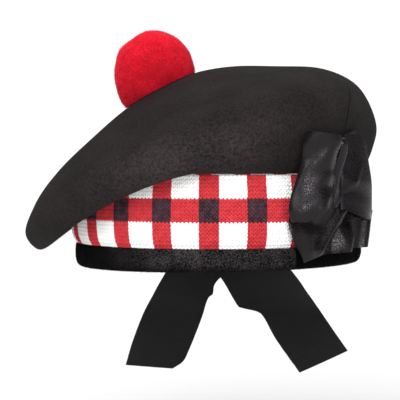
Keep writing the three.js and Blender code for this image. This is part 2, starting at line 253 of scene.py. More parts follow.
def seat(piece: bpy.types.Object, slot: str, *nodes: str) -> bpy.types.Object:
    """Fix a finished piece to the hat and report it.

    Args:
        piece: The piece.
        slot: The record's material slot. Not used.
        nodes: The solids that it stands for.

    Returns:
        The piece.
    """
    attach(piece, BODY)
    if nodes:
        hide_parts(*nodes)
    piece.data.calc_loop_triangles()
    LOG.info("%s: %d triangles", piece.name, len(piece.data.loop_triangles))
    return piece


class Signal:
    """A node's socket that takes part in sums."""

    def __init__(self, work: "NodeWork", socket: bpy.types.NodeSocket) -> None:
        """Keep the socket and the tree that it is in."""
        self.work = work
        self.socket = socket

    def _sum(self, operation: str, *values: Any) -> "Signal":
        """Add a Math node for one operation on values."""
        return self.work.node("ShaderNodeMath", {"operation": operation}, dict(enumerate(values)))["Value"]

    def __add__(self, other: Any) -> "Signal":
        """Add."""
        return self._sum("ADD", self, other)

    __radd__ = __add__

    def __sub__(self, other: Any) -> "Signal":
        """Take other away."""
        return self._sum("SUBTRACT", self, other)

    def __rsub__(self, other: Any) -> "Signal":
        """Take this away from other."""
        return self._sum("SUBTRACT", other, self)

    def __mul__(self, other: Any) -> "Signal":
        """Multiply."""
        return self._sum("MULTIPLY", self, other)

    __rmul__ = __mul__

    def __truediv__(self, other: Any) -> "Signal":
        """Divide."""
        return self._sum("DIVIDE", self, other)

    def threads(self, width_mm: float) -> "Signal":
        """Even threads of one width, 0 between them and 1 on top, for a place in metres."""
        return self._sum("SINE", self * (2 * math.pi / (width_mm * MM))) * 0.5 + 0.5

    def rise(self, low: float, high: float) -> "Signal":
        """Smooth step from 0 at low to 1 at high."""
        settings = {"interpolation_type": "SMOOTHSTEP"}
        inputs = {"Value": self, "From Min": low, "From Max": high}
        return self.work.node("ShaderNodeMapRange", settings, inputs)["Result"]


class Made:
    """A node that was placed, whose outputs are taken by name or number."""

    def __init__(self, work: "NodeWork", node: bpy.types.Node) -> None:
        """Keep the node."""
        self.work = work
        self.node = node

    def __getitem__(self, name: str | int) -> Signal:
        """The named output."""
        return Signal(self.work, self.node.outputs[name])


@dataclass(frozen=True)
class Grain:
    """A soft random grain.

    Attributes:
        scale: Features for each metre.
        detail: Layers of finer grain.
        rough: Strength of each finer layer.
    """

    scale: float
    detail: float = 2.0
    rough: float = 0.5


class NodeWork:
    """A node tree under construction."""

    def __init__(self, tree: bpy.types.NodeTree) -> None:
        """Keep the tree."""
        self.tree = tree

    def node(
        self,
        kind: str,
        settings: Mapping[str, Any] | None = None,
        inputs: Mapping[str | int, Any] | None = None,
    ) -> Made:
        """Place a node.

        Args:
            kind: The node's type.
            settings: Its own properties, set first.
            inputs: Values or signals for its sockets, by name or number. A list links several signals to one socket.

        Returns:
            The placed node.
        """
        node = self.tree.nodes.new(kind)
        for name, value in (settings or {}).items():
            setattr(node, name, value)
        for name, value in (inputs or {}).items():
            for one in value if isinstance(value, list) else [value]:
                if isinstance(one, Signal):
                    self.tree.links.new(one.socket, node.inputs[name])
                else:
                    node.inputs[name].default_value = one
        return Made(self, node)

    def noise(self, grain: Grain) -> Signal:
        """Soft random numbers from 0 to 1 over the object."""
        place = self.object_place()
        inputs = {"Vector": place, "Scale": grain.scale, "Detail": grain.detail, "Roughness": grain.rough}
        return self.node("ShaderNodeTexNoise", None, inputs)["Fac"]

    def mix(self, share: Signal, low: RGBA | Signal, high: RGBA | Signal) -> Signal:
        """Colour between two colours."""
        return self.node("ShaderNodeMix", {"data_type": "RGBA"}, {0: share, 6: low, 7: high})[2]

    def bump(self, height: Signal, strength: float, depth_mm: float) -> Signal:
        """Normal of a surface with fine relief."""
        inputs = {"Height": height, "Strength": strength, "Distance": depth_mm * MM}
        return self.node("ShaderNodeBump", None, inputs)["Normal"]

    def object_place(self) -> Signal:
        """Place on the object, in metres."""
        return self.node("ShaderNodeTexCoord")["Object"]

    def place_mm(self) -> list[Signal]:
        """Place on the object: its three coordinates in millimetres."""
        parts = self.node("ShaderNodeSeparateXYZ", None, {0: self.object_place()})
        return [parts[axis] / MM for axis in "XYZ"]

    def flat_place(self) -> tuple[Signal, Signal]:
        """Place along and across the flat cloth, in metres."""
        flat = self.node("ShaderNodeUVMap", {"uv_map": "flat"})["UV"]
        parts = self.node("ShaderNodeSeparateXYZ", None, {0: flat})
        return parts["X"], parts["Y"]


def grey(value: float, warmth: float = 0.0) -> RGBA:
    """A grey, a little warmer or cooler."""
    return (value * (1 + warmth), value, value * (1 - warmth), 1.0)


@dataclass(frozen=True)
class Finish:
    """A cloth finish.

    Attributes:
        name: Name of the material.
        colour: Colour of the cloth in shade.
        light: Colour of the raised fibres and threads, also the colour of the painted light in the felt and the
            tape.
    """

    name: str
    colour: RGBA
    light: RGBA

    def material(self) -> bpy.types.Material:
        """Make the material, once.

        Returns:
            The material.
        """
        made = bpy.data.materials.get(self.name)
        if made is not None:
            return made
        made = bpy.data.materials.new(self.name)
        made.use_nodes = True
        made.node_tree.nodes.clear()
        made.diffuse_color = self.colour
        work = NodeWork(made.node_tree)
        shader = work.node("ShaderNodeBsdfPrincipled", None, self.surface(work))
        work.node("ShaderNodeOutputMaterial", None, {"Surface": shader["BSDF"]})
        return made

    def surface(self, work: NodeWork) -> dict[str, Any]:
        """Values of the shader's sockets: numbers where they are the same all over, signals where they change."""
        raise NotImplementedError


@dataclass(frozen=True)
class MilledFelt(Finish):
    """Dense wool felt with short raised fibres, painted paler low on its front where it turns under: painted bounce
    light from the pale floor below.

    Attributes:
        painted_light_mm: Heights over the drooping edge between which the painted bounce light ends.
        right_mm: Places to the wearer's left between which the painted bounce light begins.
        left_mm: Places to the wearer's left between which it ends.
        front_mm: Places forward of the middle between which it begins.
        slope: How fast the edge droops towards the wearer's right.
        plain: Share of the pale tone that the rest of the felt shows, outside the painted bounce light.
        seam_shade: How much of the pale tone the sewn seam hides.
        fibre: Grain of single fibres.
        curl: Grain of the curled fibres.
        cloud: Grain of the felt's uneven milling.
        raised: Sum of the grains between which the raised fibres show.
    """

    painted_light_mm: Span = (72.0, 94.0)
    right_mm: Span = (-88.0, -25.0)
    left_mm: Span = (0.0, 50.0)
    front_mm: Span = (60.0, 95.0)
    slope: float = 0.24
    plain: float = 0.42
    seam_shade: float = 0.9
    fibre: Grain = Grain(1700, 2, 0.7)
    curl: Grain = Grain(560, 3, 0.65)
    cloud: Grain = Grain(42, 3)
    raised: Span = (0.36, 0.66)

    def surface(self, work: NodeWork) -> dict[str, Any]:
        """Values of the shader's sockets."""
        fibre, curl, cloud = (work.noise(grain) for grain in (self.fibre, self.curl, self.cloud))
        lift = (fibre * 0.45 + curl * 0.37 + cloud * 0.18).rise(*self.raised)
        seam = work.node("ShaderNodeAttribute", {"attribute_name": "seam"})["Fac"]
        x, y, z = work.place_mm()
        # Painted bounce light: the felt is painted paler low on its front, where it turns under and faces the pale
        # floor.
        under = 1 - (z - x * self.slope).rise(*self.painted_light_mm)
        painted_bounce = under * x.rise(*self.right_mm) * (1 - x.rise(*self.left_mm)) * (y * -1).rise(*self.front_mm)
        painted_bounce_gain = self.plain + (1 - self.plain) * painted_bounce
        return {
            "Base Color": work.mix(lift * painted_bounce_gain * (1 - self.seam_shade * seam), self.colour, self.light),
            "Roughness": 0.84 + 0.14 * curl,
            "Normal": work.bump(fibre * 0.6 + curl * 0.9, 0.8, 0.8),
            "Sheen Weight": 0.02,
            "Sheen Roughness": 0.6,
            "Sheen Tint": grey(0.4, 0.05),
            "Specular IOR Level": 0.06,
        }


@dataclass(frozen=True)
class KnitYarn(Finish):
    """Worsted knitting yarn, a little fuzzy.

    Attributes:
        ply: Grain of the twisted plies.
        stitch: Grain that differs from stitch to stitch.
        raised: Sum of the grains between which the fuzz rises.
    """

    ply: Grain = Grain(1500, 2, 0.6)
    stitch: Grain = Grain(260)
    raised: Span = (0.3, 0.7)

    def surface(self, work: NodeWork) -> dict[str, Any]:
        """Values of the shader's sockets."""
        ply, stitch = work.noise(self.ply), work.noise(self.stitch)
        fuzz = (ply * 0.55 + stitch * 0.45).rise(*self.raised)
        return {
            "Base Color": work.mix(fuzz, self.colour, self.light),
            "Roughness": 0.78 + 0.2 * ply,
            "Normal": work.bump(ply, 0.5, 0.3),
            "Sheen Weight": 0.25,
            "Sheen Roughness": 0.5,
            "Sheen Tint": self.light,
            "Specular IOR Level": 0.15,
        }


@dataclass(frozen=True)
class NappedTape(Finish):
    """Black tape with a short speckled pile, painted paler on its upper half from its left side up to its join:
    painted light from above, with painted shade at its ends and past the join.

    Attributes:
        painted_light_heights_mm: Heights between which the painted light grows.
        painted_light_mm: Places to the wearer's left between which the painted light begins, out of the painted
            shade of the left end.
        painted_shade_join_mm: Places to the wearer's left between which the painted light ends in front, at the
            join, where the painted shade starts.
        behind_mm: Places towards the back between which the painted light of the back takes over.
        shaded_speck_share: Share of the pale specks that the tape shows in its painted shade.
        pile: Grain of the pile.
        drift: Grain of its lie.
        raised: Sum of the grains between which a speck shows.
    """

    painted_light_heights_mm: Span = (-2.5, 6.5)
    painted_light_mm: Span = (-84.0, -22.0)
    painted_shade_join_mm: Span = (45.8, 47.6)
    behind_mm: Span = (-8.0, 8.0)
    shaded_speck_share: float = 0.05
    pile: Grain = Grain(1250, 2, 0.75)
    drift: Grain = Grain(90)
    raised: Span = (0.42, 0.62)

    def surface(self, work: NodeWork) -> dict[str, Any]:
        """Values of the shader's sockets."""
        pile, drift = work.noise(self.pile), work.noise(self.drift)
        side, depth, height = work.place_mm()
        # Painted light and shade: the tape is paler on its upper half, as lit from above, and darker at its left end
        # and past the join, as in shade.
        behind = depth.rise(*self.behind_mm)
        ends = (1 - behind) * (1 - side.rise(*self.painted_shade_join_mm)) + behind * (side * -1).rise(*self.painted_light_mm)
        painted_light = height.rise(*self.painted_light_heights_mm) * side.rise(*self.painted_light_mm) * ends
        speck = (pile * 0.8 + drift * 0.2).rise(*self.raised)
        return {
            "Base Color": work.mix(speck * (self.shaded_speck_share + (1 - self.shaded_speck_share) * painted_light), self.colour, self.light),
            "Roughness": 0.72 + 0.25 * drift,
            "Normal": work.bump(pile, 0.8, 0.8),
            "Specular IOR Level": 0.03,
        }


@dataclass(frozen=True)
class ToorieWool(Finish):
    """Clipped pompom wool, painted darker towards its heart: painted shade deep between the strands.

    Attributes:
        centre: Middle of the pompom in millimetres.
        inner: Distance from the middle, in millimetres, where the painted shade is deepest.
        outer: Distance of the tips.
        fuzz: Grain of single strands.
        tuft: Grain of whole tufts.
        fuzz_mm: How far the fuzz shifts the colour in or out.
        tuft_mm: How far the tufts shift it.
        deep_mm: How far past the inner distance the painted shade starts to lift.
        pale_mm: How far past the tips it has lifted fully.
    """

    centre: Triple
    inner: float
    outer: float
    fuzz: Grain = Grain(900, 2, 0.6)
    tuft: Grain = Grain(170)
    fuzz_mm: float = 1.8
    tuft_mm: float = 2.6
    deep_mm: float = 0.9
    pale_mm: float = 1.9

    def surface(self, work: NodeWork) -> dict[str, Any]:
        """Values of the shader's sockets."""
        inputs = {0: work.object_place(), 1: tuple(x * MM for x in self.centre)}
        reach = work.node("ShaderNodeVectorMath", {"operation": "DISTANCE"}, inputs)["Value"]
        fuzz, tuft = work.noise(self.fuzz), work.noise(self.tuft)
        # Painted shade: darker towards the heart of the pompom, palest out past the tips.
        spread = reach / MM + self.tuft_mm * tuft + self.fuzz_mm * fuzz
        out_of_shade = spread.rise(self.inner + self.deep_mm, self.outer + self.pale_mm)
        return {
            "Base Color": work.mix(out_of_shade, self.colour, self.light),
            "Normal": work.bump(fuzz, 0.4, 0.4),
            "Roughness": 0.95,
            "Sheen Weight": 0.5,
            "Sheen Roughness": 0.45,
            "Sheen Tint": (1.0, 0.16, 0.18, 1.0),
            "Specular IOR Level": 0.08,
        }


@dataclass(frozen=True)
class SatinRibbon(Finish):
    """Glossy ribbon of fine ribs.

    Attributes:
        rib_mm: Width of a rib from edge to edge.
        rough: Roughness of the face.
        warp_share: Width of a thread along the ribbon, as a share of a rib.
        fleck: Grain of the woven gloss.
        flecked: Grain between which a fleck shows.
        drift: Grain of the ribbon's small unevenness.
    """

    rib_mm: float = 0.78
    rough: float = 0.34
    warp_share: float = 1 / 1.35
    fleck: Grain = Grain(1150, 2, 0.7)
    flecked: Span = (0.42, 0.58)
    drift: Grain = Grain(120, 3)

    def surface(self, work: NodeWork) -> dict[str, Any]:
        """Values of the shader's sockets."""
        along, across = work.flat_place()
        warp = across.threads(self.rib_mm * self.warp_share)
        weft = along.threads(self.rib_mm)
        fleck = work.noise(self.fleck).rise(*self.flecked)
        drift = work.noise(self.drift)
        thread = warp * 0.35 + weft * 0.65
        dot = warp * weft
        return {
            "Base Color": work.mix(0.25 + dot * 0.45 + fleck * 0.3, self.colour, self.light),
            "Roughness": self.rough - 0.12 + 0.26 * fleck,
            "Normal": work.bump(thread * 0.8 + fleck * 0.8 + drift * 0.8, 0.14, 0.16),
            "Specular IOR Level": 0.25,
            "Specular Tint": (1.0, 0.92, 0.98, 1.0),
        }


@dataclass(frozen=True)
class GrosgrainRibbon(Finish):
    """Matt ribbon with ribs from edge to edge.

    Attributes:
        rib_mm: Width of a rib.
        end_mm: Width of a thread along the ribbon.
        fleck: Grain of single threads.
        drift: Grain of the ribbon's small unevenness.
        raised: Sum of ribs and grains between which a thread catches the light.
    """

    rib_mm: float = 0.9
    end_mm: float = 0.45
    fleck: Grain = Grain(1500, 2, 0.6)
    drift: Grain = Grain(60, 3)
    raised: Span = (0.3, 0.75)

    def surface(self, work: NodeWork) -> dict[str, Any]:
        """Values of the shader's sockets."""
        along, across = work.flat_place()
        rib, end = along.threads(self.rib_mm), across.threads(self.end_mm)
        fleck, drift = work.noise(self.fleck), work.noise(self.drift)
        lit = (rib * 0.35 + fleck * 0.35 + drift * 0.3).rise(*self.raised)
        return {
            "Base Color": work.mix(lit, self.colour, self.light),
            "Roughness": 0.72 + 0.18 * fleck,
            "Normal": work.bump(rib * (0.75 + 0.25 * end) + fleck * 0.3, 0.5, 0.22),
            "Sheen Weight": 0.08,
            "Sheen Roughness": 0.5,
            "Specular IOR Level": 0.2,
        }


@dataclass(frozen=True)
class PaleFloor(Finish):
    """Matt pale paint with a faint wash.

    Attributes:
        wash: Grain of the wash.
    """

    wash: Grain = Grain(3.0)

    def surface(self, work: NodeWork) -> dict[str, Any]:
        """Values of the shader's sockets."""
        paint = work.mix(work.noise(self.wash), self.colour, self.light)
        return {"Base Color": paint, "Roughness": 0.9, "Specular IOR Level": 0.1}


FELT = MilledFelt("milled_felt", (0.0085, 0.0071, 0.0072, 1), (0.055, 0.0443, 0.0451, 1))
RED_YARN = KnitYarn("red_yarn", (0.46, 0.0245, 0.0325, 1), (0.655, 0.0505, 0.062, 1))
WHITE_YARN = KnitYarn("white_yarn", (0.93, 0.92, 0.915, 1), (0.985, 0.98, 0.975, 1))
BLACK_YARN = KnitYarn("black_yarn", (0.014, 0.007, 0.010, 1), (0.090, 0.041, 0.056, 1))
TAPE = NappedTape("napped_tape", grey(0.0012), (0.055, 0.0475, 0.050, 1))
SATIN = SatinRibbon("satin_ribbon", grey(0.001), (0.0095, 0.0078, 0.0091, 1))
# A paler, glossier copy of the satin for the knot: painted light that makes the knot read lighter than the loops.
PAINTED_LIT_KNOT_SATIN = SatinRibbon("knot_satin_painted_lit", grey(0.001), (0.0113, 0.0094, 0.0110, 1), rib_mm=0.85, rough=0.32)
RIBBON = GrosgrainRibbon("tie_ribbon", grey(0.006), grey(0.0125))
FLOOR = PaleFloor("pale_floor", grey(0.89), grey(0.91))


class Seed(IntEnum):
    """Fixed seeds of all that is random."""

    STRAND_SPOTS = 3
    HAIR_SPOTS = 5
    HAIR_LEAN = 6
    HAIR_SIZE = 7
    STRAND_LEAN = 8
    STRAND_SIZE = 9
    STITCH_SWAY = 11
    STITCH_SIZE = 12


class Recipe:
    """A Geometry Nodes tree that is run once on a guide mesh and leaves a plain mesh."""

    def __init__(self, name: str) -> None:
        """Start the tree with a geometry input and output."""
        self.tree = bpy.data.node_groups.new(name, "GeometryNodeTree")
        self.tree.interface.new_socket("Geometry", in_out="INPUT", socket_type="NodeSocketGeometry")
        self.tree.interface.new_socket("Geometry", in_out="OUTPUT", socket_type="NodeSocketGeometry")
        self.work = NodeWork(self.tree)
        self.source = self.work.node("NodeGroupInput")
        self.values: dict[str, Any] = {}

    def given(self, name: str, value: Any, kind: str = "NodeSocketFloat") -> Signal:
        """Add a named input.

        Args:
            name: Name of the input.
            value: Value that it is run with.
            kind: Type of its socket.

        Returns:
            The input's signal.
        """
        socket = self.tree.interface.new_socket(name, in_out="INPUT", socket_type=kind)
        self.values[socket.identifier] = value
        return self.source[name]

    def guide(self) -> Signal:
        """The guide mesh."""
        return self.source["Geometry"]

    def attribute(self, name: str, kind: str) -> Signal:
        """A named attribute of the guide."""
        return self.work.node("GeometryNodeInputNamedAttribute", {"data_type": kind}, {"Name": name})["Attribute"]

    def scatter(self, low: Sequence[float], high: Sequence[float], seed: Seed) -> Signal:
        """A random vector for each point."""
        inputs = {0: tuple(low), 1: tuple(high), "Seed": seed.value}
        return self.work.node("FunctionNodeRandomValue", {"data_type": "FLOAT_VECTOR"}, inputs)[0]

    def shifted(self, shape: Signal, move: Any, turn: Any, scale: Any) -> Signal:
        """A shape scaled, turned and moved."""
        inputs = {"Geometry": shape, "Translation": move, "Rotation": turn, "Scale": scale}
        return self.work.node("GeometryNodeTransform", None, inputs)["Geometry"]

    def joined(self, *shapes: Signal) -> Signal:
        """Several shapes as one."""
        return self.work.node("GeometryNodeJoinGeometry", None, {"Geometry": list(shapes)})["Geometry"]

    def strewn(self, density: Signal, seed: Seed) -> Made:
        """Points strewn over the guide's faces, with rotations that stand them up."""
        inputs = {"Mesh": self.guide(), "Density": density, "Seed": seed.value}
        return self.work.node("GeometryNodeDistributePointsOnFaces", None, inputs)

    def spike(self, radius: Signal, length: Signal) -> Signal:
        """A three-sided hair that tapers to a point."""
        inputs = {"Vertices": 3, "Radius Top": 0.0, "Radius Bottom": radius, "Depth": length}
        return self.work.node("GeometryNodeMeshCone", None, inputs)["Mesh"]

    def copies(self, points: Signal, shape: Signal, turn: Signal, scale: Signal, chosen: Any = True) -> Signal:
        """A copy of a shape on each chosen point."""
        inputs = {"Points": points, "Selection": chosen, "Instance": shape, "Rotation": turn, "Scale": scale}
        return self.work.node("GeometryNodeInstanceOnPoints", None, inputs)["Instances"]

    def turned(self, rotation: Signal, by: Signal) -> Signal:
        """A rotation that is turned further about its own axes."""
        more = self.work.node("FunctionNodeEulerToRotation", None, {"Euler": by})["Rotation"]
        settings = {"rotation_space": "LOCAL"}
        return self.work.node("FunctionNodeRotateRotation", settings, {"Rotation": rotation, "Rotate By": more})[0]

    def run(
        self, shape: Signal, material: bpy.types.Material, guide: bpy.types.Object, name: str
    ) -> bpy.types.Object:
        """Close the tree, run it on a guide and remove the guide.

        Args:
            shape: What the tree makes.
            material: Material of the whole result.
            guide: Object that the tree is run on.
            name: Name of the result.

        Returns:
            A plain mesh object.
        """
        finish = self.given("Finish", material, "NodeSocketMaterial")
        whole = self.work.node("GeometryNodeRealizeInstances", None, {"Geometry": shape})["Geometry"]
        smooth = self.work.node("GeometryNodeSetShadeSmooth", None, {"Geometry": whole})["Geometry"]
        dressed = self.work.node("GeometryNodeSetMaterial", None, {"Geometry": smooth, "Material": finish})
        self.work.node("NodeGroupOutput", None, {"Geometry": dressed["Geometry"]})
        modifier = guide.modifiers.new(name, "NODES")
        modifier.node_group = self.tree
        for identifier, value in self.values.items():
            modifier[identifier] = value
        graph = bpy.context.evaluated_depsgraph_get()
        mesh = bpy.data.meshes.new_from_object(guide.evaluated_get(graph))
        guide.modifiers.clear()
        bpy.data.objects.remove(guide)
        mesh.name = name
        return new_object(name, mesh)


@dataclass(frozen=True)
class HeadOval:
    """The oval that the headband makes round a head.

    Attributes:
        half_width: Half of its width, ear to ear.
        half_depth: Half of its depth, brow to nape.
        measured_at: Number of places where the way round it is measured.
    """

    half_width: float = 94.0
    half_depth: float = 101.5
    measured_at: int = 4001

    def point(self, angle: Any, swell: Any, height: Any) -> np.ndarray:
        """Points on the oval grown by swell, at angles from +X."""
        x = (self.half_width + swell) * np.cos(angle)
        y = (self.half_depth + swell) * np.sin(angle)
        return np.stack(np.broadcast_arrays(x, y, height), axis=-1).astype(float)

    def outward(self, angle: Any) -> np.ndarray:
        """Directions straight out of the oval."""
        x, y = self.half_depth * np.cos(angle), self.half_width * np.sin(angle)
        return unit(np.stack(np.broadcast_arrays(x, y, 0.0), axis=-1).astype(float))

    def angle_at(self, share: np.ndarray) -> np.ndarray:
        """Angles at shares of the way round, from the front towards the wearer's left.

        Args:
            share: Shares of the whole way round.

        Returns:
            Angles in radians from +X.
        """
        angles = np.linspace(-math.pi / 2, 1.5 * math.pi, self.measured_at)
        steps = np.linalg.norm(np.diff(self.point(angles, 0.0, 0.0), axis=0), axis=1)
        run = np.concatenate([[0.0], np.cumsum(steps)]) / steps.sum()
        whole = np.floor(share)
        return np.interp(share - whole, run, angles) + whole * 2 * math.pi


OVAL = HeadOval()
RIM_SHIFT = 1.1  # How far the rim sits to the wearer's left of the headband over it, in millimetres.


@dataclass(frozen=True)
class CrownRing:
    """An ellipse of the crown, with its slack side at the wearer's right and its taut side at the left.

    Attributes:
        slack_x, slack_z: Its end at the wearer's right.
        taut_x, taut_z: Its end at the wearer's left.
        front, back: How far it reaches to the front and to the back.
        droop: How late it starts to fall on its way to the slack side, 1 for an even slope.
    """

    slack_x: float
    slack_z: float
    taut_x: float
    taut_z: float
    front: float
    back: float
    droop: float

    def points(self, angle: np.ndarray) -> np.ndarray:
        """Points of the ring at angles round the head."""
        fall = ((1 - np.cos(angle)) / 2) ** self.droop
        x = (self.taut_x + self.slack_x) / 2 + (self.taut_x - self.slack_x) / 2 * np.cos(angle)
        y = np.where(np.sin(angle) < 0, self.front, self.back) * np.sin(angle)
        return np.stack([x, y, self.taut_z + (self.slack_z - self.taut_z) * fall], axis=-1)


@dataclass(frozen=True)
class SoftDent:
    """A shallow hollow or swelling in the felt.

    Attributes:
        angle_deg: Its place round the head.
        share: Its place on the way from the middle of the top to the headband.
        angle_reach, share_reach: How far it spreads each way.
        lift: How far the felt stands up in its middle, or goes in where it is negative.
    """

    angle_deg: float
    share: float
    angle_reach: float
    share_reach: float
    lift: float

    def height(self, angle: np.ndarray, share: np.ndarray) -> np.ndarray:
        """How far the felt is lifted, for columns of angles by rows of shares."""
        turn = (np.degrees(angle) - self.angle_deg + 180) % 360 - 180
        across = (turn / self.angle_reach)[:, None]
        along = ((share - self.share) / self.share_reach)[None, :]
        return self.lift * np.exp(-(across**2) - along**2)


@dataclass
class Crown:
    """The felt top, a hollow wall from the middle of the top, over the edge and back in to the headband.

    Attributes:
        pole: Middle of the top.
        wall: Thickness of the felt.
        columns: Even columns of points round it.
        steps: Steps of each column, from the pole to the headband.
        flat_length: Length of the flat felt, out along a column and back inside.
        flat_radius: Radius that turns angles into lengths on the flat felt.
        seam_deg: Where the sewn seam lies, round the head.
        seam_starts, seam_ends: Shares of the way down between which the seam comes and goes.
        seam_depth: How far the seam goes in.
        seam_groove_deg, seam_shade_deg: Half widths of its groove and of its dark line.
        seam_columns: Extra columns at the seam.
        seam_columns_deg: How far from the seam they reach.
        seam_clear: Radians from them in which there is no even column.
        seam_turns: Degrees by which each ring is drawn round at the seam.
        seam_reach: Degrees from the seam within which the rings are drawn.
        rings: Ellipses from the top to the headband.
        dents: Hollows and swellings of the felt.
    """

    pole: Triple = (-34.5, 0.0, 113.2)
    wall: float = 2.2
    columns: int = 168
    steps: int = 104
    flat_length: float = 300.0
    flat_radius: float = 100.0
    seam_deg: float = -38.6
    seam_starts: Span = (0.385, 0.425)
    seam_ends: Span = (0.56, 0.61)
    seam_depth: float = 1.1
    seam_groove_deg: float = 0.42
    seam_shade_deg: float = 0.5
    seam_columns: int = 17
    seam_columns_deg: float = 1.6
    seam_clear: float = 0.012
    seam_turns: tuple[float, ...] = (0, 0, 21, 13, 0, 0, 0, 0, 0, 0)
    seam_reach: float = 30.0
    rings: tuple[CrownRing, ...] = (
        CrownRing(-57, 99.8, -12, 122.6, 26, 26, 1),
        CrownRing(-81, 79.2, 22, 127.0, 62, 62, 1),
        CrownRing(-101.4, 59.2, 66.6, 124.9, 92, 94, 1.2),
        CrownRing(-117.2, 36.4, 90.8, 113, 110, 113, 1.6),
        CrownRing(-122.8, 17.6, 102.6, 88, 113.5, 117, 2.3),
        CrownRing(-113.6, 8.2, 100, 73, 109, 112, 2.7),
        CrownRing(-98.5, 21.2, 96, 63, 103.8, 105, 4),
        CrownRing(-96.5, 44, 94.9, 60.6, 102.2, 103, 4),
        CrownRing(-94.2, 58.2, 93.2, 59.2, 100.6, 101, 1),
        CrownRing(-89.5, 58.5, 89.5, 58.5, 97, 97, 1),
    )
    dents: tuple[SoftDent, ...] = (
        SoftDent(-128, 0.30, 26, 0.07, -1.5),
        SoftDent(-150, 0.36, 20, 0.06, 1.0),
        SoftDent(-96, 0.24, 24, 0.05, 0.9),
        SoftDent(-62, 0.33, 16, 0.06, -1.0),
        SoftDent(118, 0.31, 30, 0.08, -1.6),
        SoftDent(60, 0.27, 22, 0.06, 1.1),
        SoftDent(162, 0.40, 18, 0.05, -0.9),
        SoftDent(12, 0.30, 20, 0.06, -0.8),
        SoftDent(0, 0.245, 36, 0.045, -1.1),
    )

    def angles(self) -> np.ndarray:
        """Angles of the columns, closer together at the sewn seam."""
        even = np.linspace(0, 2 * math.pi, self.columns, endpoint=False)
        beside = np.linspace(-self.seam_columns_deg, self.seam_columns_deg, self.seam_columns)
        near = math.radians(self.seam_deg) % (2 * math.pi) + np.radians(beside)
        apart = np.abs((even[:, None] - near[None, :] + math.pi) % (2 * math.pi) - math.pi).min(axis=1)
        return np.sort(np.concatenate([even[apart > self.seam_clear], near]))

    def outside(self) -> tuple[np.ndarray, np.ndarray]:
        """Shape the outer face.

        Returns:
            Points by column and step, and the directions out of the felt there.
        """
        angle = self.angles()
        share = np.linspace(0, 1, self.steps + 1)
        drawn = np.radians(np.exp(-((self.from_seam() / self.seam_reach) ** 2)))
        rings = [ring.points(angle + turn * drawn) for ring, turn in zip(self.rings, self.seam_turns)]
        knots = [np.broadcast_to(self.pole, (len(angle), 3)), *rings]
        face = smooth_path(np.stack(knots, axis=1).astype(float), share)
        out = self.directions(face)
        lift = sum(dent.height(angle, share) for dent in self.dents)
        face = face + out * (lift - self.seam_depth * self.seam(self.seam_groove_deg))[..., None]
        return face, self.directions(face)

    def from_seam(self) -> np.ndarray:
        """Degrees from the seam to each column."""
        return (np.degrees(self.angles()) - self.seam_deg + 180) % 360 - 180

    def seam(self, width_deg: float) -> np.ndarray:
        """Show where the sewn seam runs.

        Args:
            width_deg: Half of its width, in degrees round the crown.

        Returns:
            Numbers from 0 to 1 by column and step.
        """
        share = np.linspace(0, 1, self.steps + 1)
        sewn = smoothstep(share, *self.seam_starts) * (1 - smoothstep(share, *self.seam_ends))
        return np.exp(-((self.from_seam() / width_deg) ** 2))[:, None] * sewn[None, :]

    def directions(self, face: np.ndarray) -> np.ndarray:
        """Directions straight out of the face."""
        along = np.gradient(face, axis=1)
        round_ = np.roll(face, -1, axis=0) - np.roll(face, 1, axis=0)
        out = unit(np.cross(along, round_))
        out[:, 0] = unit(out[:, 1].mean(axis=0))
        return out

    def axis(self) -> np.ndarray:
        """Direction straight out of the middle of the top."""
        return self.outside()[1][0, 0]

    def build(self) -> bpy.types.Object:
        """Make the felt crown.

        Returns:
            The crown.
        """
        face, out = self.outside()
        inner = face - out * self.wall
        rows = np.concatenate([face[:, 1:], inner[:, :0:-1]], axis=1).swapaxes(0, 1)
        angle = np.append(self.angles(), self.angles()[0] + 2 * math.pi)
        flat = flat_grid(np.linspace(0, self.flat_length, len(rows)), angle * self.flat_radius)
        skin = Skin(rows, flat, Ends.TIPS, (face[0, 0], inner[0, 0]))
        felt = skin.build("crown_felt", [FELT.material()])
        seam = np.zeros(len(felt.data.vertices))
        seam[: face[:, 1:, 0].size] = self.seam(self.seam_shade_deg)[:, 1:].T.ravel()
        mark_points(felt.data, "seam", "FLOAT", seam)
        return seat(felt, "black_felt", "crown")


class Yarn(IntEnum):
    """The three yarns of the dicing."""

    RED = 0
    WHITE = 1
    BLACK = 2


YARN_FINISH = {Yarn.RED: RED_YARN, Yarn.WHITE: WHITE_YARN, Yarn.BLACK: BLACK_YARN}


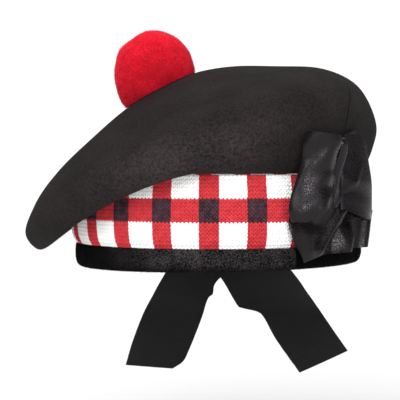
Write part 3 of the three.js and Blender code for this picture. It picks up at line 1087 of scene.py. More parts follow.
@dataclass
class DicedBand:
    """The knitted headband: a ground of floats behind, and a face of stitches in three rows of squares.

    Attributes:
        repeats: Repeats of the dicing round the band.
        upright: Stitches across an upright column of red and black squares.
        between: Stitches across the white and red squares between two columns.
        stitches_up: Rows of stitches in the lowest, the middle and the top row of squares.
        stitch_height, stitch_width: Size of a stitch.
        foot: Height of the lowest stitches.
        start: Place of the first upright column, in repeats from the front to the wearer's left.
        wall: Thickness of the ground.
        sink: How far the ground lies behind the face.
        sink_heights: Heights between which it sinks.
        shift_heights: Heights between which the band leaves the rim, which sits a little to one side.
        hidden_rows: Heights of the ground's rows inside the binding.
        stitch_sink: How far the middle of a stitch lies behind the face.
        leg: Half width, half thickness and half length of a stitch's leg.
        leg_spread: How far each leg lies from the middle of its stitch.
        leg_lean_deg: How far the legs lean apart.
        sway: How far a stitch may turn about its own axes, in radians.
        smallest, largest: Limits of a stitch's size along its own axes.
        profile: Heights, and how far the face stands out from the oval there.
    """

    repeats: int = 21
    upright: int = 5
    between: int = 7
    stitches_up: tuple[int, int, int] = (7, 6, 6)
    stitch_height: float = 2.34
    stitch_width: float = 2.54
    foot: float = 13.45
    start: float = -0.397
    wall: float = 2.2
    sink: float = 0.95
    sink_heights: Span = (10.0, 13.4)
    shift_heights: Span = (9.0, 13.4)
    hidden_rows: tuple[float, ...] = (4.6, 7.5, 10.4)
    stitch_sink: float = 0.62
    leg: Triple = (0.70, 0.66, 1.72)
    leg_spread: float = 0.62
    leg_lean_deg: float = 21.0
    sway: Triple = (0.05, 0.05, 0.07)
    smallest: Triple = (0.95, 0.95, 0.93)
    largest: Triple = (1.06, 1.05, 1.08)
    profile: tuple[Span, ...] = (
        (2.3, -5.0), (9.0, -5.05), (12.8, -4.7), (15.0, -3.0), (17.2, -1.7),
        (21.0, -0.7), (32.0, 0.0), (46.0, -0.7), (57.9, -2.5),
    )

    @property
    def stitches_round(self) -> int:
        """Stitches in one row."""
        return self.repeats * (self.upright + self.between)

    @property
    def rows_up(self) -> int:
        """Rows of stitches from the binding to the crown."""
        return sum(self.stitches_up)

    def swell(self, height: np.ndarray) -> np.ndarray:
        """How far the face stands out from the oval at heights."""
        path = smooth_path(np.array(self.profile), np.linspace(0, 1, 200))
        return np.interp(height, path[:, 0], path[:, 1])

    def angle(self, stitch: np.ndarray) -> np.ndarray:
        """Angles at stitch numbers, counted from the first upright square at the front."""
        return OVAL.angle_at(np.asarray(stitch) / self.stitches_round + self.start / self.repeats)

    def yarn(self, stitch: np.ndarray, row: np.ndarray) -> np.ndarray:
        """Which yarn a stitch is knitted in.

        Args:
            stitch: Stitch numbers round the band.
            row: Stitch rows, 0 at the bottom.

        Returns:
            Yarn numbers.
        """
        in_upright = stitch % (self.upright + self.between) < self.upright
        lowest, middle, _ = self.stitches_up
        in_middle = (row >= lowest) & (row < lowest + middle)
        return np.where(
            in_upright,
            np.where(in_middle, Yarn.BLACK, Yarn.RED),
            np.where(in_middle, Yarn.RED, Yarn.WHITE),
        )

    def ground(self) -> bpy.types.Object:
        """Make the wall behind the stitches, coloured by the same chart.

        Returns:
            The ground.
        """
        shown = self.foot + self.stitch_height * np.arange(self.rows_up + 1)
        height = np.concatenate([self.hidden_rows, shown])
        row = np.arange(len(height)) - len(self.hidden_rows)
        stitch = np.arange(self.stitches_round)
        swell = self.swell(height)
        outer = swell - self.sink * smoothstep(height, *self.sink_heights)
        loop_height = np.concatenate([height, height[::-1]])
        loop_swell = np.concatenate([outer, swell[::-1] - self.wall])
        grid = OVAL.point(self.angle(stitch)[:, None], loop_swell[None, :], loop_height[None, :])
        grid[..., 0] += RIM_SHIFT * (1 - smoothstep(loop_height, *self.shift_heights))
        loop_row = np.concatenate([row, row[::-1] - 1]).clip(0, self.rows_up - 1)
        tones = self.yarn(stitch[:, None], loop_row[None, :]) + np.zeros((len(stitch), 1), int)
        flat = flat_grid(np.arange(len(stitch) + 1) * self.stitch_width, np.append(loop_height, height[0]))
        skin = Skin(grid, flat, Ends.MEET, tones=tones)
        materials = [YARN_FINISH[yarn].material() for yarn in Yarn]
        return skin.build("band_ground", materials)

    def stitch_points(self) -> bpy.types.Object:
        """Make the guide: a point for each stitch, with its directions and its yarn.

        Returns:
            The guide.
        """
        stitch, row = (x.ravel() for x in np.indices((self.stitches_round, self.rows_up)))
        angle = self.angle(stitch + 0.5)
        height = self.foot + self.stitch_height * (row + 0.5)
        place = OVAL.point(angle, self.swell(height) - self.stitch_sink, height)
        below, above = (OVAL.point(angle, self.swell(z), z) for z in (height - 0.5, height + 0.5))
        up = unit(above - below)
        across = np.cross([0.0, 0.0, 1.0], OVAL.outward(angle))
        mesh = bpy.data.meshes.new("stitch_points")
        mesh.from_pydata((place * MM).tolist(), [], [])
        mark_points(mesh, "across", "FLOAT_VECTOR", across)
        mark_points(mesh, "out", "FLOAT_VECTOR", np.cross(across, up))
        mark_points(mesh, "yarn", "INT", self.yarn(stitch, row))
        return new_object("stitch_points", mesh)

    def stitches(self, yarn: Yarn) -> bpy.types.Object:
        """Make all stitches of one yarn, each a V of two plump legs.

        Args:
            yarn: The yarn.

        Returns:
            The stitches.
        """
        recipe = Recipe(f"knit_{yarn.name.lower()}")
        work = recipe.work
        wanted = recipe.given("Yarn", int(yarn), "NodeSocketInt")
        width = recipe.given("Leg half width", self.leg[0] * MM)
        thick = recipe.given("Leg half thickness", self.leg[1] * MM)
        length = recipe.given("Leg half length", self.leg[2] * MM)
        spread = recipe.given("Leg spread", self.leg_spread * MM)
        lean = recipe.given("Leg lean", math.radians(self.leg_lean_deg))
        ball = work.node("GeometryNodeMeshUVSphere", None, {"Segments": 6, "Rings": 4, "Radius": 1.0})["Mesh"]
        size = work.node("ShaderNodeCombineXYZ", None, {"X": width, "Y": thick, "Z": length})["Vector"]
        leg = recipe.shifted(ball, (0.0, 0.0, 0.0), (math.pi / 2, 0.0, 0.0), size)
        legs = []
        for side in (-1, 1):
            move = work.node("ShaderNodeCombineXYZ", None, {"X": spread * side})["Vector"]
            turn = work.node("ShaderNodeCombineXYZ", None, {"Z": lean * -side})["Vector"]
            legs.append(recipe.shifted(leg, move, turn, (1.0, 1.0, 1.0)))
        axes = {
            "Primary Axis": recipe.attribute("out", "FLOAT_VECTOR"),
            "Secondary Axis": recipe.attribute("across", "FLOAT_VECTOR"),
        }
        settings = {"primary_axis": "Z", "secondary_axis": "X"}
        stand = work.node("FunctionNodeAxesToRotation", settings, axes)["Rotation"]
        sway = recipe.turned(stand, recipe.scatter([-most for most in self.sway], self.sway, Seed.STITCH_SWAY))
        settings = {"data_type": "INT", "operation": "EQUAL"}
        same = work.node("FunctionNodeCompare", settings, {2: recipe.attribute("yarn", "INT"), 3: wanted})["Result"]
        scale = recipe.scatter(self.smallest, self.largest, Seed.STITCH_SIZE)
        placed = recipe.copies(recipe.guide(), recipe.joined(*legs), sway, scale, same)
        name = f"band_stitches_{yarn.name.lower()}"
        return recipe.run(placed, YARN_FINISH[yarn].material(), self.stitch_points(), name)

    def build(self) -> list[bpy.types.Object]:
        """Make the ground and the three yarns' stitches."""
        pieces = [self.ground(), *(self.stitches(yarn) for yarn in Yarn)]
        return [seat(piece, "diced_knit", "diced_band") for piece in pieces]


@dataclass
class EdgeBinding:
    """The napped tape that is folded round the foot of the headband, with its ends lapped at one place.

    Attributes:
        columns: Even sections round the rim.
        join_deg: Where the ends lap, round the head.
        join_columns: Extra sections at the lap.
        join_columns_deg: How far from the lap they reach.
        join_clear: Radians from the lap in which there is no even section.
        lap: How far the upper end stands off the lower one.
        lap_edge_deg: Half width of the lapped edge.
        lap_fade_deg: Degrees before the edge between which the upper end lifts.
        easing: Small waves where the tape is eased round.
        eased: Places out from the oval between which the waves and the lap grow.
        pile_length, pile_radius: Size of a hair of the pile.
        pile_each_mm2: Hairs on each square millimetre.
        pile_lean: How far a hair leans, and how far round it may turn, in radians.
        pile_smallest, pile_largest: Limits of a hair's size.
        foot_lift: How far the lower edge is lifted.
        foot_tilt: How much more it is lifted for each millimetre to the wearer's left.
        foot_heights: Heights between which that lift fades.
        flat_radius: Radius that turns angles into lengths on the flat tape.
        section_points: Points on the shown outline of a section.
        outline: Shown outline of a section, out from the oval and up, from the outer edge round the fold.
        core: Hidden points that close a section, where it holds the headband.
    """

    columns: int = 220
    join_deg: float = -60.2
    join_columns: int = 9
    join_columns_deg: float = 0.5
    join_clear: float = 0.018
    lap: float = 0.7
    lap_edge_deg: float = 0.18
    lap_fade_deg: Span = (14.0, 4.0)
    easing: tuple[Ripple, ...] = (Ripple(0.16, 23, 1.3 - math.pi / 2), Ripple(0.12, 57, 0.4 - math.pi / 2))
    eased: Span = (-6.2, -4.4)
    pile_length: float = 0.62
    pile_radius: float = 0.14
    pile_each_mm2: float = 1.5
    pile_lean: Span = (0.55, 6.28)
    pile_smallest: Triple = (0.8, 0.8, 0.55)
    pile_largest: Triple = (1.2, 1.2, 1.1)
    foot_lift: float = 0.15
    foot_tilt: float = 0.0165
    foot_heights: Span = (2.0, 12.0)
    flat_radius: float = 95.0
    section_points: int = 40
    outline: tuple[Span, ...] = (
        (-4.55, 13.2), (-4.0, 13.9), (-3.1, 13.6), (-2.4, 11.2), (-2.3, 8.0),
        (-2.6, 4.2), (-3.7, 1.5), (-5.9, 0.0), (-7.9, 1.5), (-8.7, 4.5),
        (-8.85, 9.0), (-8.65, 14.2), (-8.1, 15.0), (-7.55, 14.6),
    )
    core: tuple[Span, ...] = ((-7.5, 2.0), (-4.7, 2.0))

    def angles(self) -> np.ndarray:
        """Angles of the sections, closer together at the lapped ends."""
        even = np.linspace(-math.pi, math.pi, self.columns, endpoint=False)
        join = math.radians(self.join_deg)
        near = join + np.radians(np.linspace(-self.join_columns_deg, self.join_columns_deg, self.join_columns))
        return np.sort(np.concatenate([even[np.abs(even - join) > self.join_clear], near]))

    def body(self) -> bpy.types.Object:
        """Make the folded tape.

        Returns:
            The tape.
        """
        angle = self.angles()
        outline = smooth_path(np.array(self.outline), np.linspace(0, 1, self.section_points))
        section = np.concatenate([outline, self.core])
        shown = np.append(np.ones(len(outline)), np.zeros(len(self.core)))
        outer = shown * smoothstep(section[:, 0], *self.eased)
        past = np.degrees(angle) - self.join_deg
        early, late = self.lap_fade_deg
        lap = smoothstep(past, -early, -late) * (1 - smoothstep(past, -self.lap_edge_deg, self.lap_edge_deg))
        ease = sum(ripple.at(angle) for ripple in self.easing)
        swell = section[None, :, 0] + (lap * self.lap + ease)[:, None] * outer[None, :]
        grid = OVAL.point(angle[:, None], swell, section[None, :, 1])
        low = 1 - smoothstep(section[:, 1], *self.foot_heights)
        grid[..., 2] += (self.foot_lift + self.foot_tilt * grid[..., 0]) * low
        grid[..., 0] += RIM_SHIFT
        run = np.append(angle, angle[0] + 2 * math.pi) * self.flat_radius
        flat = flat_grid(run, np.arange(len(section) + 1.0))
        tape = Skin(grid, flat, Ends.MEET).build("edge_binding_tape", [TAPE.material()])
        mark_points(tape.data, "pile", "FLOAT", np.tile(shown, len(angle)))
        return tape

    def pile(self, tape: bpy.types.Object) -> bpy.types.Object:
        """Make the short pile that stands on the tape.

        Args:
            tape: The folded tape.

        Returns:
            The pile.
        """
        guide = new_object("pile_guide", tape.data.copy())
        recipe = Recipe("tape_pile")
        each = recipe.given("Hairs for each square metre", self.pile_each_mm2 / MM**2)
        length = recipe.given("Hair length", self.pile_length * MM)
        root = recipe.given("Hair root radius", self.pile_radius * MM)
        spots = recipe.strewn(each * recipe.attribute("pile", "FLOAT"), Seed.HAIR_SPOTS)
        lean, turn = self.pile_lean
        drawn = recipe.scatter((-lean, -lean, 0), (lean, lean, turn), Seed.HAIR_LEAN)
        sway = recipe.turned(spots["Rotation"], drawn)
        scale = recipe.scatter(self.pile_smallest, self.pile_largest, Seed.HAIR_SIZE)
        placed = recipe.copies(spots["Points"], recipe.spike(root, length), sway, scale)
        return recipe.run(placed, TAPE.material(), guide, "edge_binding_pile")

    def build(self) -> list[bpy.types.Object]:
        """Make the tape and its pile.

        Returns:
            The pieces.
        """
        tape = self.body()
        pile = self.pile(tape)
        return [seat(tape, "black_velvet", "edge_binding"), seat(pile, "black_velvet")]


@dataclass(frozen=True)
class Swelling:
    """A fuller place of the pompom.

    Attributes:
        x, z: Its direction from the middle.
        height: How far it stands out.
        spread: How broad it is.
    """

    x: float
    z: float
    height: float
    spread: float


@dataclass
class Toorie:
    """The pompom on the middle of the crown: a lumpy heart and thousands of clipped strands.

    Attributes:
        crown: The crown that it sits on.
        radius: Distance of the strands' tips from its middle.
        heart: Radius of the heart.
        lift: How far its middle stands off the crown.
        gap: Clearance between the wool and the felt.
        drop: How far above a point the felt under it is looked for.
        rings, columns: Points of the heart from top to bottom and round it.
        lump, fine_lump: Heights of the heart's broad and small lumps.
        squared: How much it is flattened at its four shoulders, seen from the front.
        swellings: Its fuller places.
        strands: Strands, if they stood on a plain ball.
        strand_length, strand_radius: Size of a strand.
        tuft_scale: Tufts for each metre.
        tuft_draw: How far the strands of a tuft are drawn to one side, in radians.
        strand_lean: How far a strand leans, and how far round it may turn, in radians.
        strand_smallest, strand_largest: Limits of a strand's size.
    """

    crown: Crown
    radius: float = 26.4
    heart: float = 24.1
    lift: float = 11.6
    gap: float = 0.4
    drop: float = 60.0
    rings: int = 56
    columns: int = 100
    lump: float = 0.4
    fine_lump: float = 0.35
    squared: float = 4.5
    swellings: tuple[Swelling, ...] = (Swelling(-0.616, -0.788, 6.0, 0.08), Swelling(-0.848, 0.53, 1.3, 0.04))
    strands: int = 44000
    strand_length: float = 2.3
    strand_radius: float = 0.30
    tuft_scale: float = 210.0
    tuft_draw: float = 0.8
    strand_lean: Span = (0.5, 6.28)
    strand_smallest: Triple = (0.8, 0.8, 0.7)
    strand_largest: Triple = (1.2, 1.2, 1.1)

    def centre(self) -> np.ndarray:
        """Middle of the ball."""
        return np.array(self.crown.pole) + self.crown.axis() * self.lift

    def finish(self) -> ToorieWool:
        """The wool, painted darker deep between the strands as painted shade."""
        centre = tuple(float(x) for x in self.centre())
        # The deep colour is painted shade between the strands; the other is the wool out of that shade.
        deep, out_of_shade = (0.68, 0.005, 0.016, 1), (0.88, 0.0145, 0.042, 1)
        return ToorieWool("toorie_wool", deep, out_of_shade, centre, self.heart, self.radius)

    def core(self) -> bpy.types.Object:
        """Make the lumpy heart that the strands grow from.

        Returns:
            The heart.
        """
        latitude = np.linspace(0, math.pi, self.rings)[1:-1, None]
        longitude = np.linspace(0, 2 * math.pi, self.columns, endpoint=False)
        ring = np.sin(latitude)
        x, y, z = np.broadcast_arrays(ring * np.cos(longitude), ring * np.sin(longitude), np.cos(latitude))
        # Waves of unlike paces, so that no lump comes twice.
        lump = np.sin(5.1 * x + 1.2 * y + 0.5) * np.sin(4.7 * y - 2.1 * z + 1.1) + 0.7 * np.sin(7.3 * z + 2.9 * x)
        fine = np.sin(13 * x + 5 * z) * np.sin(11 * y - 6 * x + 1) * np.sin(12 * z + 4 * y + 2)
        fuller = sum(s.height * np.exp((s.x * x + s.z * z - 1) / s.spread) for s in self.swellings)
        reach = self.heart + self.lump * lump + self.fine_lump * fine - self.squared * (x * z) ** 2 + fuller
        grid = self.centre() + np.stack([x, y, z], axis=-1) * reach[..., None]
        pole = np.array([0, 0, self.heart])
        tips = (self.centre() + pole, self.centre() - pole)
        flat = np.zeros((len(latitude), len(longitude) + 1, 2))
        return Skin(grid, flat, Ends.TIPS, tips).build("toorie_heart", [self.finish().material()])

    def build(self, felt: bpy.types.Object) -> bpy.types.Object:
        """Make the pompom and press it on to the felt.

        Args:
            felt: The crown that it sits on.

        Returns:
            The pompom.
        """
        recipe = Recipe("toorie_strands")
        work = recipe.work
        each = recipe.given("Strands for each square metre", self.strands / (4 * math.pi * (self.heart * MM) ** 2))
        length = recipe.given("Strand length", self.strand_length * MM)
        thick = recipe.given("Strand radius", self.strand_radius * MM)
        spots = recipe.strewn(each, Seed.STRAND_SPOTS)
        place = work.node("GeometryNodeInputPosition")["Position"]
        inputs = {"Vector": place, "Scale": self.tuft_scale, "Detail": 1.0}
        tuft = work.node("ShaderNodeTexNoise", None, inputs)["Color"]
        draw = self.tuft_draw
        inputs = {0: tuft, 1: (2 * draw, 2 * draw, 0.0), 2: (-draw, -draw, 0.0)}
        drawn = work.node("ShaderNodeVectorMath", {"operation": "MULTIPLY_ADD"}, inputs)["Vector"]
        clump = recipe.turned(spots["Rotation"], drawn)
        lean, turn = self.strand_lean
        loose = recipe.turned(clump, recipe.scatter((-lean, -lean, 0), (lean, lean, turn), Seed.STRAND_LEAN))
        scale = recipe.scatter(self.strand_smallest, self.strand_largest, Seed.STRAND_SIZE)
        placed = recipe.copies(spots["Points"], recipe.spike(thick, length), loose, scale)
        whole = recipe.joined(recipe.guide(), placed)
        ball = recipe.run(whole, self.finish().material(), self.core(), "toorie_wool_ball")
        self.press(ball, felt)
        return seat(ball, "red_wool", "toorie")

    def press(self, ball: bpy.types.Object, felt: bpy.types.Object) -> None:
        """Lift what would reach into the felt up to its face.

        Args:
            ball: The pompom.
            felt: The crown.
        """
        tree = BVHTree.FromObject(felt, bpy.context.evaluated_depsgraph_get())
        axis = Vector(self.crown.axis())
        points = np.empty(len(ball.data.vertices) * 3, np.float32)
        ball.data.vertices.foreach_get("co", points)
        points = points.reshape(-1, 3)
        low = (points - self.centre() * MM) @ np.array(axis) < 0
        for i in np.flatnonzero(low):
            here = Vector(points[i])
            hit = tree.ray_cast(here + axis * self.drop * MM, -axis)[0]
            if hit is not None and (here - hit).dot(axis) < self.gap * MM:
                points[i] = hit + axis * self.gap * MM
        ball.data.vertices.foreach_set("co", points.ravel())
        ball.data.update()


@dataclass(frozen=True)
class Crease:
    """A soft fold in a ribbon between two points, across and up from the knot.

    Attributes:
        across_from, up_from: Where the fold starts.
        across_to, up_to: Where it ends.
        height: How far it stands up, or goes in where it is negative.
        right_width: How far it spreads on the right hand of its run, seen from outside.
        left_width: How far it spreads on the left hand.
    """

    across_from: float
    up_from: float
    across_to: float
    up_to: float
    height: float
    right_width: float
    left_width: float

    def lift(self, across: np.ndarray, up: np.ndarray) -> np.ndarray:
        """How far the fold lifts the ribbon."""
        run = np.array([self.across_to - self.across_from, self.up_to - self.up_from])
        side = (across - self.across_from) * run[0] + (up - self.up_from) * run[1]
        share = np.clip(side / (run @ run), 0, 1)
        beside, above = across - self.across_from - share * run[0], up - self.up_from - share * run[1]
        gap = np.hypot(beside, above)
        hand = (run[0] * above - run[1] * beside) / (np.hypot(*run) * np.maximum(gap, 1e-6))
        width = self.right_width + (self.left_width - self.right_width) * (1 + hand) / 2
        return self.height * np.exp(-((gap / width) ** 2))


@dataclass(frozen=True)
class BowSeat:
    """Where the bow lies on the left temple: on the headband, and higher up on the crown's bulge.

    Attributes:
        angle_deg, height: Place of the knot, round the head and up.
        wrap_radius: Radius that turns lengths round the hat into angles.
        stand_off: How far the bow's rear stands off the oval on the headband.
        crown_stand_off: How much further it stands off on the crown's bulge.
        crown_foot, crown_shoulder: Heights between which the bulge rises.
    """

    angle_deg: float = -47.0
    height: float = 46.0
    wrap_radius: float = 103.0
    stand_off: float = 1.0
    crown_stand_off: float = 10.5
    crown_foot: float = 52.0
    crown_shoulder: float = 86.0

    def rise(self, up: np.ndarray) -> np.ndarray:
        """Share of the way from the headband up to the crown's bulge."""
        return smoothstep(self.height + up, self.crown_foot, self.crown_shoulder)

    def point(self, across: np.ndarray, up: np.ndarray, out: np.ndarray) -> np.ndarray:
        """Points of the bow: across runs towards the back, up is up, out leaves the hat."""
        swell = self.stand_off + self.crown_stand_off * self.rise(up) + out
        return OVAL.point(math.radians(self.angle_deg) + across / self.wrap_radius, swell, self.height + up)


SEAT = BowSeat()
RIBBON_WALL = 1.0  # Thickness of every ribbon, in millimetres.


@dataclass(frozen=True)
class BowLoop:
    """A loop of the bow: ribbon that runs out from the knot, turns and comes back behind itself.

    Attributes:
        name: Name of the solid that it stands for.
        side: Way round the hat, -1 to the front and 1 to the back.
        top_reach: How far its upper part goes from the knot.
        foot_reach: How far its lower part goes.
        taper: Heights between which the reach changes.
        head: Height of the upper edge at the knot and at the turn.
        foot: Height of the lower edge at the knot and at the turn.
        drop: Shares of the way out between which the lower edge drops.
        puff: How far the outer face swells.
        crest: Share of the way out where the outer face is fullest, at the foot and at the head.
        pressed: How much the loop is pressed flat on the crown, in its middle and in its outer face.
        creases: Folds in the outer face.
        cut: Width and length of the flat ribbon, in metres.
        top_corner: How much the upper corner of the turn is rounded off.
        foot_corner: How much the lower corner is rounded off.
        crest_heights: Heights between which the crest moves.
        gather: Depth of the pleats at the knot.
        start: How far from the knot's middle the ribbon starts.
        middle_out: How far the middle of the loop stands off the hat.
        back_puff: How far the inner face swells.
        corners_from: Places across the ribbon where the upper and the lower corner start to round off.
        corners_to: Place where they would end, just past the edge.
        climb, fall: Powers that fill out the outer face before and after its crest.
        crested: Share of the outer face's swell that follows the crest, and not an even round.
        face_from: How far round the turn the folds of the outer face reach their full height.
        pleats: Waves of the gathering at the knot.
        pleat_fade: Power by which the pleats fade on the way out.
        turns, places: Points round the loop and across the ribbon.
    """

    name: str
    side: int
    top_reach: float
    foot_reach: float
    taper: Span
    head: Span
    foot: Span
    drop: Span
    puff: float
    crest: Span
    pressed: Span
    creases: tuple[Crease, ...]
    cut: Span
    top_corner: float
    foot_corner: float
    crest_heights: Span = (6.0, 34.0)
    gather: float = 0.8
    start: float = 3.4
    middle_out: float = 9.6
    back_puff: float = 5.2
    corners_from: Span = (0.6, 0.75)
    corners_to: float = 1.04
    climb: float = 0.8
    fall: float = 0.75
    crested: float = 0.82
    face_from: float = 0.55
    pleats: tuple[Ripple, ...] = (Ripple(1.0, 7.2, 0.6), Ripple(0.6, 13.1, 2.2))
    pleat_fade: float = 1.6
    turns: int = 128
    places: int = 65

    def outer_swell(self, share: np.ndarray, turn: np.ndarray, up: np.ndarray) -> np.ndarray:
        """How full the outer face is, from 0 at the knot and the turn to 1 at its crest.

        Args:
            share: Shares of the way out from the knot.
            turn: Places round the loop, as angles.
            up: Heights over the knot.

        Returns:
            Fullness at each point.
        """
        crest = self.crest[0] + (self.crest[1] - self.crest[0]) * smoothstep(up, *self.crest_heights)
        climb = np.sin(math.pi / 2 * np.clip(share / crest, 0, 1)) ** self.climb
        fall = np.cos(math.pi / 2 * np.clip((share - crest) / (1 - crest), 0, 1)) ** self.fall
        return self.crested * np.where(share < crest, climb, fall) + (1 - self.crested) * np.sin(turn)

    def face(self, turn: np.ndarray, place: np.ndarray, wall: float) -> np.ndarray:
        """Points of one face of the ribbon.

        Args:
            turn: Places round the loop, as angles, down the first axis.
            place: Places across the ribbon, along the second axis.
            wall: How far the face lies from the ribbon's outer face.

        Returns:
            Points, turns by places by 3.
        """
        share = (1 - np.cos(turn)) / 2
        top = self.head[0] + (self.head[1] - self.head[0]) * np.sqrt(share)
        low = self.foot[0] + (self.foot[1] - self.foot[0]) * smoothstep(share, *self.drop)
        up = low + (top - low) * (place + 1) / 2
        reach = self.foot_reach + (self.top_reach - self.foot_reach) * smoothstep(up, *self.taper)
        top_from, foot_from = self.corners_from
        rounded = self.top_corner * smoothstep(place, top_from, self.corners_to) ** 2
        rounded = rounded + self.foot_corner * smoothstep(-place, foot_from, self.corners_to)
        half = (reach - rounded - self.start) / 2
        across = self.side * (self.start + half - (half + wall) * np.cos(turn))
        middle_full, outer_full = (1 - flat * SEAT.rise(up) for flat in self.pressed)
        front = self.puff * self.outer_swell(share, turn, up) * outer_full
        behind = self.back_puff * np.sin(turn) * middle_full
        pleat = sum(ripple.at(place) for ripple in self.pleats)
        fold = sum(crease.lift(across, up) for crease in self.creases)
        fold = fold + self.gather * pleat * (1 - share) ** self.pleat_fade
        fold = fold * outer_full * smoothstep(np.sin(turn), 0.0, self.face_from)
        swell = np.where(turn < math.pi, front, behind)
        out = self.middle_out * middle_full + swell + wall * np.sin(turn) + fold
        return SEAT.point(across, up, out)

    def build(self) -> bpy.types.Object:
        """Make the loop.

        Returns:
            The loop.
        """
        turn = np.linspace(0, 2 * math.pi, self.turns, endpoint=False)
        place = ribbon_places(self.places)
        front = self.face(turn[:, None], place[None, :], 0.0)
        back = self.face(turn[:, None], place[None, :], -RIBBON_WALL)
        along = np.append(turn, 2 * math.pi) * (self.foot_reach / math.pi)
        flat = ribbon_flat(along, place, self.cut[0])
        loop = Skin(two_faced(front, back), flat, Ends.MEET).build(f"{self.name}_ribbon", [SATIN.material()])
        seat(loop, "black_satin", self.name)
        return loop


@dataclass(frozen=True)
class TailStation:
    """A section of a bow tail.

    Attributes:
        left: Its left edge, across and up from the knot, and how far it stands off.
        right: Its right edge, in the same way.
    """

    left: Triple
    right: Triple


@dataclass(frozen=True)
class BowTail:
    """A tail of the bow: ribbon that fans out from under the knot to a cut end.

    Attributes:
        name: Name of the solid that it stands for.
        stations: Sections from the knot to the cut end.
        creases: Folds in it.
        gather: Depth of the pleats at the knot.
        cut: Width and length of the flat ribbon, in metres.
        flare: How much of its standing off is gathered at its right edge, 1 for an even slope.
        pleat: Depth of the one broad pleat at its cut end.
        pleats: Waves of the gathering at the knot.
        pleat_fade: Power by which they fade on the way to the cut end.
        least_out: Least distance that it stands off its seat.
        steps, places: Points along it and across it.
    """

    name: str
    stations: tuple[TailStation, ...]
    creases: tuple[Crease, ...]
    gather: float
    cut: Span
    flare: float
    pleat: float = 0.5
    pleats: tuple[Ripple, ...] = (Ripple(1.0, 9.5, 0.8), Ripple(0.7, 17.0, 2.0))
    pleat_fade: float = 1.5
    least_out: float = 0.2
    steps: int = 64
    places: int = 65

    def build(self) -> bpy.types.Object:
        """Make the tail.

        Returns:
            The tail.
        """
        share = np.linspace(0, 1, self.steps)
        left = smooth_path(np.array([station.left for station in self.stations]), share)
        right = smooth_path(np.array([station.right for station in self.stations]), share)
        place = ribbon_places(self.places)
        part = ((place + 1) / 2)[None, :]
        across, up, _ = np.moveaxis(left[:, None] + (right - left)[:, None] * part[..., None], -1, 0)
        out = left[:, None, 2] + (right - left)[:, None, 2] * part**self.flare
        out = out + self.pleat * share[:, None] * np.cos(place * math.pi)[None, :]
        out = out + sum(crease.lift(across, up) for crease in self.creases)
        fine = sum(ripple.at(place) for ripple in self.pleats)
        out = out + self.gather * fine[None, :] * (1 - share[:, None]) ** self.pleat_fade
        out = np.maximum(out, self.least_out)
        grid = two_faced(SEAT.point(across, up, out + RIBBON_WALL), SEAT.point(across, up, out))
        flat = ribbon_flat(share * self.cut[1] / MM, place, self.cut[0])
        tail = Skin(grid, flat, Ends.CAPS).build(f"{self.name}_ribbon", [SATIN.material()])
        seat(tail, "black_satin", self.name)
        return tail


@dataclass(frozen=True)
class BowKnot:
    """The narrow upright roll of twisted ribbon that gathers the bow.

    Attributes:
        half_width, top_half_width: Half of its width at its foot and at its top.
        foot, top: Heights of its ends over the bow's seat.
        depth: How thick it is.
        back: How far its rear stands off the bow's seat.
        squareness: Power that fills out its round form, 1 for none.
        fold: Height of its folds, as a share of its radius.
        fold_waves: Waves round it that make the folds.
        fold_base: How far the folds go in.
        fold_fade: Power by which they fade at its ends.
        twist: How far the folds turn from end to end, in radians.
        lean: How far its top leans to the front.
        thinning: Share of its depth that it loses towards its top.
        flat_radius, flat_length: Radius and length of the flat ribbon round it.
        rings, columns: Points from end to end and round it.
    """

    half_width: float = 6.2
    top_half_width: float = 4.6
    foot: float = -8.6
    top: float = 34.0
    depth: float = 14.6
    back: float = -1.85
    squareness: float = 0.75
    fold: float = 0.10
    fold_waves: tuple[Ripple, ...] = (Ripple(1.0, 3, 0.5), Ripple(0.5, 5, -1.1))
    fold_base: float = 0.7
    fold_fade: float = 0.6
    twist: float = 2.4
    lean: float = -1.6
    thinning: float = 0.25
    flat_radius: float = 6.5
    flat_length: float = 40.0
    rings: int = 72
    columns: int = 96

    def build(self) -> bpy.types.Object:
        """Make the roll.

        Returns:
            The roll.
        """
        latitude = np.linspace(0, math.pi, self.rings)[1:-1, None]
        longitude = np.linspace(0, 2 * math.pi, self.columns, endpoint=False)[None, :]
        turn = longitude + self.twist * np.cos(latitude) / 2
        folds = sum(wave.at(turn) for wave in self.fold_waves) - self.fold_base
        fold = 1 + self.fold * folds * np.sin(latitude) ** self.fold_fade
        x = self.squared(np.sin(latitude) * np.cos(longitude)) * fold
        z = self.squared(np.sin(latitude) * np.sin(longitude)) * fold
        rise = (self.squared(np.cos(latitude)) + 1) / 2
        half = self.half_width + (self.top_half_width - self.half_width) * rise
        up = self.foot + (self.top - self.foot) * rise
        middle = self.back + self.depth / 2
        thick = self.depth / 2 * (1 - self.thinning * rise)
        grid = SEAT.point(half * x + self.lean * rise, up, middle + thick * z)
        tips = (SEAT.point(self.lean, np.array(self.top), middle), SEAT.point(0.0, np.array(self.foot), middle))
        around = np.append(longitude, 2 * math.pi) * self.flat_radius
        flat = flat_grid((1 - rise[:, 0]) * self.flat_length, around)
        roll = Skin(grid, flat, Ends.TIPS, tips).build("bow_knot_roll", [PAINTED_LIT_KNOT_SATIN.material()])
        return seat(roll, "black_satin", "bow_knot")

    def squared(self, values: np.ndarray) -> np.ndarray:
        """Numbers from -1 to 1 pushed outwards, which fills out a round form."""
        return np.sign(values) * np.abs(values) ** self.squareness


